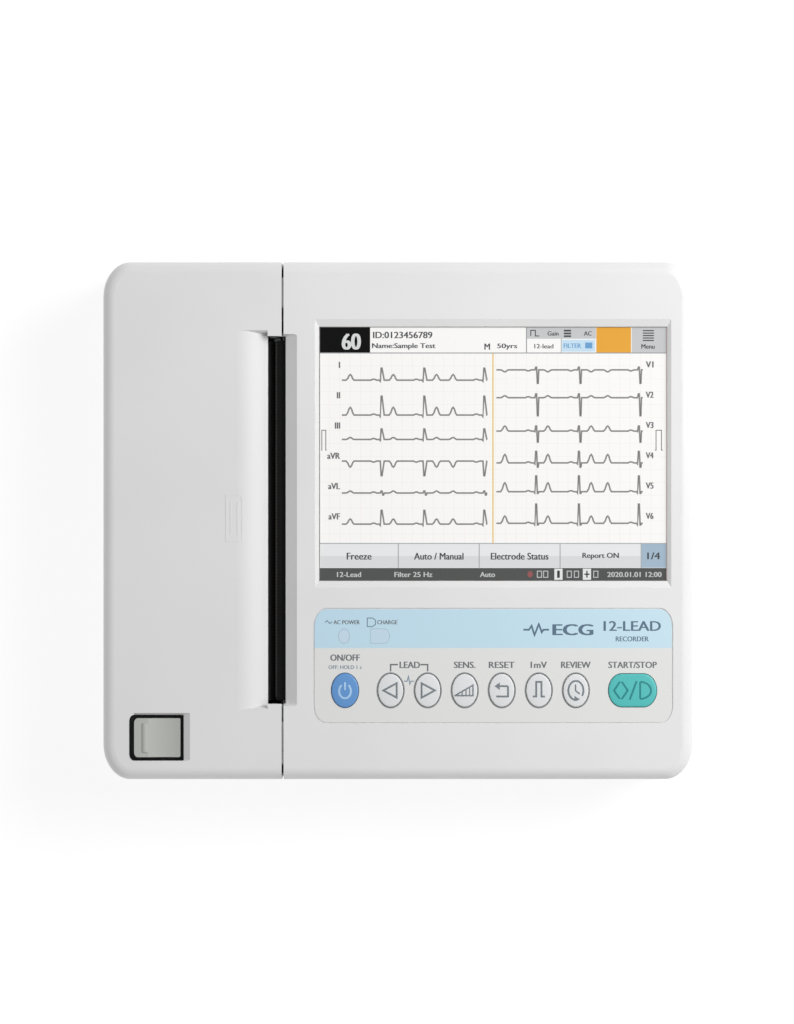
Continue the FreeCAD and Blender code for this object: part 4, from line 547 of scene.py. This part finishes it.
class Key:
    """A domed key over its CAD cap, with its sign printed on it."""

    def __init__(self, node):
        self.node, self.body = node, node + "_cap"
        lo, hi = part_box(node)
        self.x, self.y = (lo.x + hi.x) / 2, (lo.y + hi.y) / 2
        self.low, self.top = lo.z, hi.z - KEY_SINK
        self.straight = START_HALF if node == "key_start" else 0.0
        self.rx = (hi.x - lo.x) / 2 - KEY_FLANGE - self.straight
        self.ry = (hi.y - lo.y) / 2 - KEY_FLANGE

    def loop(self, scale, z, grow=0.0):
        rx, ry = self.rx * scale + grow, self.ry * scale + grow
        half = self.straight * scale
        return [(x, y, z) for x, y in pill(self.x, self.y, half, rx, ry, KEY_POINTS)]

    def height(self, x, y):
        """Where a sign lies on the dome over a point."""
        across = (x - self.x) / (self.rx + self.straight)
        along = (y - self.y) / self.ry
        return self.top - KEY_RISE * min(across ** 2 + along ** 2, 1) + SIGN_LIFT

    def cap(self, material, slot):
        """The dome with its flange and foot, in the CAD cap's place."""
        under = self.low + KEY_FOOT
        over = under + KEY_FLANGE
        loops = [self.loop(1, self.low), self.loop(1, under), self.loop(1, under, KEY_FLANGE),
                 self.loop(1, over, KEY_FLANGE), self.loop(1, over)]
        loops += [self.loop(scale, self.top - KEY_RISE - drop * MM) for scale, drop in SHOULDER]
        loops += [self.loop(scale, self.top - KEY_RISE * scale ** 2) for scale in DOME]
        piece = loft(self.node + "_dome", loops, material, self.body)
        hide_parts(self.node)

    def sign(self, material, draw):
        """Prints what draw puts on it, in millimetres from the key's middle."""
        marks = Print(self.node + "_sign", 0)
        draw(Pen(marks, self.x, self.y))
        for vertex in marks.shape.verts:
            x, y, z = vertex.co
            vertex.co.z = self.height(x, y) + z
        marks.done(material, self.body)


PIECE = 1.5         # the longest straight piece of a line, in millimetres, so that it follows a curved key
ARC_STEP = 12       # degrees for each piece of an arc
USUAL_LINE = 1.15   # the width of a sign's lines, in millimetres


class Pen:
    """Draws on a Print in millimetres from an origin."""

    def __init__(self, marks, x, y, width=USUAL_LINE):
        self.marks, self.x, self.y, self.width = marks, x, y, width

    def at(self, points):
        return [(self.x + x * MM, self.y + y * MM) for x, y in points]

    def line(self, points, closed=False, width=None):
        fine = []
        ends = points[1:] + (points[:1] if closed else [])
        for start, end in zip(points, ends):
            pieces = max(int(math.dist(start, end) / PIECE), 1)
            fine += [tuple(a + (b - a) * n / pieces for a, b in zip(start, end)) for n in range(pieces)]
        if not closed:
            fine.append(points[-1])
        self.marks.stroke(self.at(fine), (width or self.width) * MM, closed)

    def arc(self, x, y, rx, ry, start, end):
        """Part of an oval's outline, from start to end in degrees."""
        count = max(int(abs(end - start) / ARC_STEP), 4)
        turns = [math.radians(start + (end - start) * n / count) for n in range(count + 1)]
        points = [(x + rx * math.cos(t), y + ry * math.sin(t)) for t in turns]
        self.marks.stroke(self.at(points), self.width * MM)

    def area(self, points):
        self.marks.area(self.at(points))


def sign_power(pen):
    pen.arc(0, -0.4, 3.6, 4.4, 125, 415)
    pen.line([(0, 0.2), (0, 5)])


def sign_back(pen):
    pen.line([(-4.4, 0), (3.7, 4.4), (3.7, -4.4)], closed=True)


def sign_next(pen):
    pen.line([(4.4, 0), (-3.7, 4.4), (-3.7, -4.4)], closed=True)


def sign_sensitivity(pen):
    left, right, foot, head = -6, 5, -3.2, 3.2
    pen.line([(left, foot), (right, foot), (right, head)], closed=True, width=0.9)
    for x in (-1.6, 0.8, 3.0):
        top = foot + (x - left) / (right - left) * (head - foot)
        pen.line([(x, foot), (x, top)], width=0.7)


def sign_reset(pen):
    pen.line([(-3.4, -3.7), (3.8, -3.7), (3.8, 2.6)])
    pen.line([(3.8, 2.6), (-1.4, 2.6)])
    pen.area([(-1.2, 0.2), (-1.2, 5.0), (-4.4, 2.6)])


def sign_calibration(pen):
    pen.line([(-3.7, -3.7), (-1.6, -3.7), (-1.6, 5.2), (1.6, 5.2), (1.6, -3.7), (3.7, -3.7)])


def sign_review(pen):
    pen.arc(0, 0, 4.6, 5.8, 285, -35)
    pen.line([(-0.2, 3.6), (-0.2, -0.2), (2.4, -2.2)], width=0.9)
    pen.area([(-0.9, -6.6), (-0.9, -3.4), (2.6, -5.4)])


def sign_start(pen):
    pen.line([(-11.4, 0), (-7.2, 6.1), (-3.0, 0), (-7.2, -6.1)], closed=True)
    pen.line([(-1.8, -5.6), (2.4, 5.6)])
    pen.line([(4.6, -5.2), (4.6, 5.2)])
    pen.arc(4.6, 0, 6.6, 5.2, 90, -90)


KEYS = (("key_power", "key_blue", sign_power), ("key_lead_back", "key_grey", sign_back),
        ("key_lead_next", "key_grey", sign_next), ("key_sensitivity", "key_grey", sign_sensitivity),
        ("key_reset", "key_grey", sign_reset), ("key_calibration", "key_grey", sign_calibration),
        ("key_review", "key_grey", sign_review), ("key_start", "key_green", sign_start))


def make_keys(looks):
    """Every key's dome, with its sign on it."""
    inks = {
        "key_grey": ink("ink_key", (120, 128, 134)),
        "key_blue": ink("ink_pale", (170, 205, 238)),
        "key_green": ink("ink_deep", (24, 132, 134)),
    }
    for node, slot, draw in KEYS:
        key = Key(node)
        key.cap(looks[slot], slot)
        key.sign(inks[slot], draw)


# ------------------------------------------------------------------ print on the key panel, and painted shade round its grey keys

LABEL_TALL = 3.9 * MM
LABEL_UP = 13.6         # a label's feet over its key's middle, in millimetres
POWER_UP = 18.0         # the same for the power key, which has a second line under its label
# A key's label, its node, the label's width and its height over the key, in millimetres.
LABELS = (("ON/OFF", "key_power", 17.7, POWER_UP), ("SENS.", "key_sensitivity", 12.9, LABEL_UP),
          ("RESET", "key_reset", 15.5, LABEL_UP), ("1mV", "key_calibration", 9.7, LABEL_UP),
          ("REVIEW", "key_review", 17.8, LABEL_UP), ("START/STOP", "key_start", 29.3, LABEL_UP))
SHADE_OUT, SHADE_IN = 0.95 * MM, 0.4 * MM     # the painted shade ring's edges, past the key's outline


def print_words(hi):
    """The names of the keys and of the two lenses, and the bracket round the lead keys' name."""
    words = Print("panel_words", hi.z)
    for label, node, wide, up in LABELS:
        at = middle(node)
        words.text(label, at.x, at.y + up * MM, LABEL_TALL, wide * MM, heavy=BOLD)
    left, right = middle("key_lead_back"), middle("key_lead_next")
    half_way = (left.x + right.x) / 2
    words.text("LEAD", half_way + 0.4 * MM, left.y + LABEL_UP * MM, LABEL_TALL, 12.2 * MM, heavy=BOLD)
    pen = Pen(words, 0, 0, 0.9)
    for side, key in ((-1, left), (1, right)):
        x, foot, head = key.x / MM, key.y / MM + 11.6, key.y / MM + 15.7
        pen.line([(x, foot), (x, head), (x - side * 4.5, head)])
    for label, x, wide in (("AC POWER", -10.6, 15.9), ("CHARGE", 14.2, 12.2)):
        words.text(label, middle("led_lenses").x + x * MM, hi.y - 9.1 * MM, 2.5 * MM, wide * MM)
    words.done(ink("ink_slate", (108, 112, 116)))


def print_marks(hi):
    """The small signs: a pulse between the lead keys, and a wave and a plug's outline by the lenses."""
    marks = Print("panel_marks", hi.z)
    left, right = middle("key_lead_back"), middle("key_lead_next")
    power, lenses = middle("key_power"), middle("led_lenses")
    pen = Pen(marks, (left.x + right.x) / 2, left.y, 0.6)
    pen.line([(-3.2, 5.6), (-1.2, 5.6), (-0.4, 9), (0.4, 3.4), (1.1, 5.6), (3.2, 5.6)])
    marks.text("OFF: HOLD 1 s", power.x, power.y + 13.0 * MM, 2.3 * MM, 20 * MM)
    pen = Pen(marks, lenses.x, hi.y, 0.6)
    pen.line([(-23.8, -8.0), (-22.6, -6.9), (-20.8, -8.6), (-19.4, -7.4)])
    pen = Pen(marks, lenses.x + 4.6 * MM, hi.y - 7.9 * MM, 0.6)
    pen.line([(-2.6, -2.6), (0.6, -2.6), (2.4, -1.2), (2.4, 1.2), (0.6, 2.6), (-2.6, 2.6)], closed=True)
    marks.done(ink("ink_mid", (118, 140, 156)))


def print_title(hi):
    """A pulse line and generic words at the right of the blue band."""
    title = Print("panel_title", hi.z)
    x, y = hi.x - 90.4 * MM, hi.y - 15.8 * MM
    pen = Pen(title, x, y + 3.4 * MM, 1.1)
    pen.line([(0, 0), (3.4, 0), (5.0, 2.4), (6.8, -3.4), (9.4, 3.5), (11.2, -1.6), (12.2, 0), (15.6, 0)])
    title.text("ECG", x + 30.2 * MM, y, 6.8 * MM, 24 * MM, heavy=2)
    right = hi.x - 24 * MM
    title.text("12-LEAD", right, hi.y - 13.1 * MM, 6.0 * MM, 34.6 * MM)
    title.text("RECORDER", right, hi.y - 19.5 * MM, 3.0 * MM, 20 * MM)
    title.done(ink("ink_title", (88, 112, 134)))


def paint_key_edge_shade(hi):
    """A dark ring round each grey key: painted shade where the key meets the film."""
    rings = Print("panel_rings", hi.z)
    for node in key_nodes():
        if node in ("key_power", "key_start"):
            continue
        key = Key(node)
        outer, inner = (oval(key.x, key.y, key.rx + past, key.ry + past) for past in (SHADE_OUT, SHADE_IN))
        rings.ring(outer, inner)
    # painted shade: a dark grey ring at each grey key's edge stands in for the shade in the gap round the
    # key
    rings.done(ink("ink_ring", (136, 138, 140)))


def make_panel_print():
    """All that is printed on the film, and the painted shade round the grey keys. hi is the film's back
    right corner, on its top.
    """
    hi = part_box("panel_overlay")[1]
    for part in (print_words, print_marks, print_title, paint_key_edge_shade):
        part(hi)


# ------------------------------------------------------------------ the display's picture

LAYER = 0.04 * MM       # thickness of a layer of the picture
GASKET = 5.0            # how far the gasket's outside is past the lit area
GROUND, FIELDS, WORDS, SIGNS = range(4)     # the picture's layers, from the glass up
BRIGHT, DIM = 0.62, 0.4     # how much of a pale patch and of a dark one is glow
EDGE = 0.4              # the dark line round the picture
# The picture's rows, in millimetres below its top.
HEADER_END = 15.7
GRID_TOP, GRID_END = 16.2, 132.2
MENU_TOP, MENU_FOLD, MENU_END = 132.6, 140.0, 147.1
STATUS_TOP, STATUS_END = 147.3, 154.9
FIRST_LINE, SECOND_LINE = 7.0, 14.0     # the feet of the header's large words
LARGE, MEDIUM, SMALL = 4.0, 3.8, 2.7    # how tall its words are


class Screen:
    """Draws on the glass in millimetres right of and below the display's top left corner."""

    def __init__(self):
        lo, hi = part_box("display_gasket")
        self.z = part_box("display_glass")[1].z + 0.01 * MM
        self.left, self.top = lo.x + GASKET * MM, hi.y - GASKET * MM
        self.wide, self.tall = (hi.x - lo.x) / MM - 2 * GASKET, (hi.y - lo.y) / MM - 2 * GASKET

    def sheet(self, name, layer):
        """A Sheet on a layer, counted up from the glass."""
        return Sheet(self, name, layer)


class Sheet:
    """One colour of the picture, on one layer."""

    def __init__(self, screen, name, layer):
        self.screen = screen
        self.marks = Print("screen_" + name, screen.z + layer * LAYER, LAYER)

    def at(self, u, v):
        return self.screen.left + u * MM, self.screen.top - v * MM

    def box(self, u0, u1, v0, v1):
        (x0, y1), (x1, y0) = self.at(u0, v0), self.at(u1, v1)
        self.marks.box(x0, x1, y0, y1)

    def line(self, points, width, closed=False):
        self.marks.stroke([self.at(u, v) for u, v in points], width * MM, closed)

    def disc(self, u, v, ru, rv):
        x, y = self.at(u, v)
        self.marks.area(oval(x, y, ru * MM, rv * MM, 24))

    def text(self, words, u, v, height, width=None, align=0.5, heavy=1.0):
        """Words with their feet at v."""
        x, y = self.at(u, v)
        self.marks.text(words, x, y, height * MM, width and width * MM, align, heavy)

    def done(self, colour, share=BRIGHT):
        return self.marks.done(lit("lit_" + self.marks.name, colour, share))


def beat(up, down, wave):
    """One heartbeat's points about its main peak: way along the trace, and height."""
    small = 0.35 * min(abs(wave) + 0.6, 1.8) * (1 if wave > 0 else -1)
    points = [(-6.6, 0), (-5.6, small * 0.8), (-4.7, small), (-3.9, small * 0.6), (-3.0, 0), (-1.5, 0)]
    points += [(-0.8, -0.1 * up if up > 3 else 0), (-0.25, up), (0.25, up)]
    if down:
        points += [(0.75, -down), (1.2, -down)]
    return points + [(1.6, 0)]


def swell(wave):
    """The slow wave after a beat."""
    shape = ((-2.6, 0), (-1.6, 0.3), (-0.7, 0.85), (0, 1), (0.7, 0.8), (1.5, 0.25), (2.3, 0))
    return [(along, share * wave) for along, share in shape]


def trace(u, length, v, up, down, wave):
    """A lead's line across its half of the display. A negative up is an inverted lead."""
    pulse, slow = beat(up, down, wave), swell(wave)
    events = ((5.2, slow), (24.3, pulse), (31.5, slow), (50.4, pulse), (57.9, slow), (68.0, slow),
              (87.0, pulse))
    points = [(0.0, 0.0)]
    for centre, shape in events:
        last = points[-1][0]
        points += [(centre + along, high) for along, high in shape if last < centre + along < length]
    points.append((length, 0.0))
    return [(u + along, v - high) for along, high in points]


# A lead's name, how far down its line is, its peak up and down, and its slow wave.
LEADS_LEFT = (("I", 32.6, 7.3, 0, 3.4), ("II", 53.9, 11.5, 0, 4.7), ("III", 68.8, 6.4, 0, 1.2),
              ("aVR", 82.0, -8.9, 0, -3.7), ("aVL", 101.5, 1.2, 1.2, 1.2), ("aVF", 120.5, 8.4, 0, 3.1))
LEADS_RIGHT = (("V1", 26.3, 1.6, 8.2, -1.2), ("V2", 43.3, 2.3, 11.0, 1.2), ("V3", 63.7, 3.1, 6.7, 3.1),
               ("V4", 83.1, 7.0, 2.6, 5.1), ("V5", 100.7, 9.6, 1.0, 5.4), ("V6", 120.0, 11.7, 1.0, 4.4))
LEFT_START, LEFT_LONG = 13.8, 88.7      # the traces of the display's two halves
RIGHT_START, RIGHT_LONG = 108.2, 89.4
TRACE = 1.0                             # the width of their lines
NAME_TALL, NAME_PITCH = 3.8, 18.5
CAL_HEAD, CAL_FOOT = 63.2, 75.3     # the 1 mV step marks at the display's left and right


def make_traces(screen):
    lines, names = screen.sheet("traces", WORDS), screen.sheet("lead_names", WORDS)
    for n, (label, v, up, down, wave) in enumerate(LEADS_LEFT):
        lines.line(trace(LEFT_START, LEFT_LONG, v, up, down, wave), TRACE)
        names.text(label, 12.6, 25.2 + NAME_PITCH * n, NAME_TALL, align=1, heavy=1.4)
    for n, (label, v, up, down, wave) in enumerate(LEADS_RIGHT):
        lines.line(trace(RIGHT_START, RIGHT_LONG, v, up, down, wave), TRACE)
        names.text(label, 201.8, 24.9 + NAME_PITCH * n, NAME_TALL, 4.4, heavy=1.4)
    for start, rise, fall, end in ((1.2, 1.6, 4.0, 4.6), (204.9, 205.7, 209.0, 209.8)):
        step = [(start, CAL_FOOT), (rise, CAL_FOOT), (rise, CAL_HEAD), (fall, CAL_HEAD), (fall, CAL_FOOT)]
        lines.line(step + [(end, CAL_FOOT)], 0.6)
    lines.done((138, 135, 135), DIM)
    names.done((106, 106, 108), DIM)


PITCH_U, PITCH_V = 6.33, 7.9    # the recording paper's squares
GRID_ROWS = 14                  # lines across
HAIR = 0.13                     # half the width of a line


def make_grid(screen):
    grid = screen.sheet("grid", FIELDS)
    for n in range(1, int(screen.wide / PITCH_U) + 1):
        grid.box(PITCH_U * n - HAIR, PITCH_U * n + HAIR, GRID_TOP, GRID_END)
    for n in range(1, GRID_ROWS + 1):
        v = HEADER_END + 0.2 + PITCH_V * n
        grid.box(0.6, screen.wide - 0.6, v - HAIR, v + HAIR)
    grid.done((243, 236, 232))
    middle_line = screen.sheet("middle_line", WORDS)
    middle_line.box(105.7, 106.5, GRID_TOP, GRID_END)
    middle_line.done((233, 196, 112))


def patch(screen, name, areas, colour, share=BRIGHT, layer=FIELDS):
    """One colour's areas, each u0, u1, v0, v1, on a sheet of their own."""
    sheet = screen.sheet(name, layer)
    for area in areas:
        sheet.box(*area)
    sheet.done(colour, share)


# The header's two stacks of bars: their left and right, the first one's top, count, pitch and thickness.
HEADER_BARS = ((197.6, 204.4, 2.0, 5, 1.5, 0.7), (149.4, 153.8, 1.8, 3, 1.7, 1.1))


def make_header(screen):
    """The row along the top: rate, patient, and the boxes of settings."""
    patch(screen, "rate_box", [(EDGE, 31.1, EDGE, HEADER_END)], (4, 4, 5), DIM)
    patch(screen, "alert_box", [(169.2, 190.4, EDGE, HEADER_END)], (231, 166, 52))
    patch(screen, "mode_box", [(148.2, 168.6, 7.9, 15.2)], (196, 222, 240))
    greys = [(126.5, 169.0, EDGE, 7.3), (190.8, 211.9, EDGE, HEADER_END)]
    patch(screen, "header_grey", greys, (196, 198, 200))
    rules = [(EDGE, 212.0, HEADER_END, 16.3), (126.3, 126.9, EDGE, HEADER_END)]
    rules.append((147.6, 148.0, 7.3, HEADER_END))
    patch(screen, "header_rule", rules, (150, 152, 154), DIM, WORDS)
    words = screen.sheet("header_words", WORDS)
    words.text("ID:0123456789", 33.0, FIRST_LINE, LARGE, 36, align=0)
    words.text("Name:Sample Test", 32.4, SECOND_LINE, LARGE, 38.5, align=0)
    words.text("M", 102.6, SECOND_LINE, MEDIUM, 3.2)
    words.text("50yrs", 114.8, SECOND_LINE, MEDIUM, 12)
    words.text("12-lead", 137.2, 13.2, SMALL, 11.5)
    words.text("Gain", 142.8, 5.4, SMALL, 6.6)
    words.text("AC", 164.0, 5.4, SMALL, 4.6)
    words.text("Menu", 200.8, 13.4, 2.8, 8)
    for u0, u1, top, count, pitch, thick in HEADER_BARS:
        for n in range(count):
            words.box(u0, u1, top + pitch * n, top + pitch * n + thick)
    words.line([(129.2, 5.6), (129.2, 2.2), (132.0, 2.2), (132.0, 5.6), (134.4, 5.6)], 0.6)
    words.done((70, 74, 78), DIM)
    filters = screen.sheet("mode_words", WORDS)
    filters.text("FILTER", 154.6, 12.9, SMALL, 10.5)
    filters.box(162.4, 166.8, 9.6, 13.2)
    filters.done((104, 158, 205), DIM)
    rate = screen.sheet("rate", WORDS)
    rate.text("60", 19.6, SECOND_LINE, 10.0, 10.8, heavy=BOLD)
    rate.done((214, 216, 216))


MENU = (("Freeze", 15), ("Auto / Manual", 30), ("Electrode Status", 35), ("Report ON", 22))
MENU_SPLITS = (0.5, 48.3, 97.7, 147.1, 196.6)   # where each button starts, and the page number after them
MENU_GAP = 0.3                                  # half the gap between two buttons
MENU_TALL = 4.2                                 # how tall its words are


def make_menu(screen):
    """Four buttons, paler at their top than below, and the page number."""
    bar, low = screen.sheet("menu_top", FIELDS), screen.sheet("menu_low", FIELDS)
    edge, words = screen.sheet("menu_edges", WORDS), screen.sheet("menu_words", WORDS)
    for (label, wide), start, end in zip(MENU, MENU_SPLITS, MENU_SPLITS[1:]):
        u0, u1 = start + MENU_GAP, end - MENU_GAP
        bar.box(u0, u1, MENU_TOP, MENU_FOLD)
        low.box(u0, u1, MENU_FOLD, MENU_END)
        words.text(label, (u0 + u1) / 2, 142.2, MENU_TALL, wide)
        edge.box(u1, u1 + 2 * MENU_GAP, 132.5, 147.2)
    page_start, page_end = MENU_SPLITS[-1], screen.wide - 0.5
    patch(screen, "menu_page", [(page_start + MENU_GAP, page_end, MENU_TOP, MENU_END)], (160, 182, 200))
    words.text("1/4", (page_start + page_end) / 2, 142.0, MENU_TALL, 7.6)
    edge.box(EDGE, screen.wide - EDGE, 132.0, MENU_TOP)
    bar.done((229, 231, 232))
    low.done((215, 217, 219))
    edge.done((168, 172, 174), DIM)
    words.done((72, 76, 80), DIM)


# The status line's words, where their middle is and how wide they are.
STATUS = (("12-Lead", 18.2, 14.5), ("Filter 25 Hz", 57.5, 23), ("Auto", 102.8, 9),
          ("2020.01.01 12:00", 192.5, 33))
STATUS_FOOT, STATUS_TALL = 152.8, 3.1
TILES, TILE = (143.6, 161.0), 5                     # the left edges of its pale tiles, and their width
ICONS, ICON = (133.2, 137.0, 151.4, 155.8, 167.6), 2.6      # and of its open squares


def make_status(screen):
    """The dark line along the foot, with plain marks for its icons."""
    patch(screen, "status_bar", [(EDGE, screen.wide - EDGE, STATUS_TOP, STATUS_END)], (80, 82, 82), DIM)
    words = screen.sheet("status_words", WORDS)
    for label, u, wide in STATUS:
        words.text(label, u, STATUS_FOOT, STATUS_TALL, wide)
    for u in ICONS:
        words.line([(u, 149.2), (u + ICON, 149.2), (u + ICON, 153.0), (u, 153.0)], 0.5, closed=True)
    words.done((196, 198, 198))
    tiles = [(u, u + TILE, 147.7, 154.5) for u in TILES]
    patch(screen, "status_tiles", tiles, (226, 228, 228), layer=WORDS)
    signs = [(145.3, 146.9, 148.9, 153.3), (163.1, 163.9, 149.0, 153.2), (161.9, 165.1, 150.7, 151.5)]
    patch(screen, "status_signs", signs, (52, 54, 56), DIM, SIGNS)
    mark = screen.sheet("status_mark", WORDS)
    mark.disc(128.8, 151.1, 1.6, 1.9)
    mark.done((150, 84, 84), DIM)


def make_display():
    """The whole picture, from its pale ground up."""
    screen = Screen()
    wide, tall = screen.wide, screen.tall
    patch(screen, "base", [(0, wide, 0, tall)], (248, 247, 245), layer=GROUND)
    dark = [(0, 0.5, 0, tall), (0, wide, 0, EDGE), (0, wide, tall - EDGE, tall)]
    patch(screen, "edge_dark", dark, (120, 116, 108), DIM, WORDS)
    patch(screen, "edge_warm", [(wide - 0.5, wide, 0, tall)], (196, 176, 168), DIM, WORDS)
    for part in (make_grid, make_header, make_traces, make_menu, make_status):
        part(screen)


# ------------------------------------------------------------------ soft pieces


MAT_THICK = 1 * MM
MAT_GAP = 0.5 * MM      # round the light pipes
# A mat dome's radius and height over the sheet, in millimetres.
MAT_DOME = ((4.5, -0.1), (4.4, 0.3), (3.9, 1.6), (3.5, 2.2), (3.3, 2.6), (3.0, 2.83), (2.4, 2.93),
            (1.0, 2.95))


def make_mat(looks):
    """The silicone mat: a sheet with a window for the light pipes, and domes under the keys."""
    lo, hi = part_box("keypad_mat")
    pipe_lo, pipe_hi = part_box("led_lenses")
    outline = rounded(lo.x, hi.x, lo.y, hi.y, 3 * MM)
    x0, x1 = pipe_lo.x - MAT_GAP, pipe_hi.x + MAT_GAP
    y0, y1 = pipe_lo.y - MAT_GAP, pipe_hi.y + MAT_GAP
    window = rounded(x0, x1, y0, y1, 1.5 * MM)
    mat = Print("mat_sheet", lo.z, MAT_THICK)
    mat.ring(outline, window)
    sheet = mat.done(looks["silicone"])
    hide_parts("keypad_mat")
    base = lo.z + MAT_THICK
    for node in key_nodes():
        at = middle(node)
        loops = []
        for r, up in MAT_DOME:
            loops.append([(x, y, base + up * MM) for x, y in oval(at.x, at.y, r * MM, r * MM, 32)])
        dome = loft("mat_dome" + node[3:], loops, looks["silicone"])
        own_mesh(dome)


COIL_WIRE = 0.4 * MM        # the wire's radius
COIL_TURNS = 7
COIL_FACETS = 28            # pieces in a turn
WIRE_FACETS = 8             # sides of the wire


def make_latch_spring(looks):
    """The latch spring, a coil that rides on the latch."""
    lo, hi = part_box("latch_spring")
    length = hi.x - lo.x
    y, z = (lo.y + hi.y) / 2, (lo.z + hi.z) / 2
    radius = (hi.y - lo.y) / 2 - COIL_WIRE
    steps = COIL_TURNS * COIL_FACETS
    sides = [2 * math.pi * n / WIRE_FACETS for n in range(WIRE_FACETS)]
    loops = []
    for n in range(steps + 1):
        turn = 2 * math.pi * n / COIL_FACETS
        out = Vector((0, math.cos(turn), math.sin(turn)))
        x = lo.x + COIL_WIRE + (length - 2 * COIL_WIRE) * n / steps
        centre = Vector((x, y, z)) + radius * out
        loops.append([centre + COIL_WIRE * (math.cos(a) * out + Vector((math.sin(a), 0, 0))) for a in sides])
    spring = loft("latch_coil", loops, looks["spring_steel"], "latch")
    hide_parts("latch_spring")
    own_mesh(spring)


# ------------------------------------------------------------------ the cover's sign

SCOOP_X = -98 * MM          # where the cover's flat top starts to curve down to the slot
SCOOP_R = 28.2 * MM
MARK_X, MARK_Y = -99.4 * MM, 1.6 * MM
MARK_RISE = 0.2 * MM
MARK_SUNK = 0.02 * MM       # how much of that is inside the cover


def make_cover_mark(looks):
    """A faintly raised sheet-of-paper sign where the cover starts to curve down to the paper slot."""
    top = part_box("paper_cover")[1].z
    marks = Print("cover_mark", top - MARK_SUNK, MARK_RISE)
    pen = Pen(marks, MARK_X, MARK_Y, 0.8)
    pen.line([(-5.2, -14), (-5.2, 14), (3.0, 14), (4.6, 12.2), (4.6, -14)], closed=True)
    for x in (-2.6, 1.6):
        pen.line([(x, -10), (x, 10)], width=0.6)
    piece = marks.done(looks["cover_shell"], "cover")
    for corner in piece.data.vertices:
        across = max(corner.co.x - SCOOP_X, 0)
        corner.co.z -= SCOOP_R - math.sqrt(SCOOP_R ** 2 - across ** 2)


# ------------------------------------------------------------------ the scene

make_camera()
make_floor()
make_lights()
LOOKS = make_materials()
make_keys(LOOKS)
make_panel_print()
make_display()
make_cover_mark(LOOKS)
make_mat(LOOKS)
make_latch_spring(LOOKS)
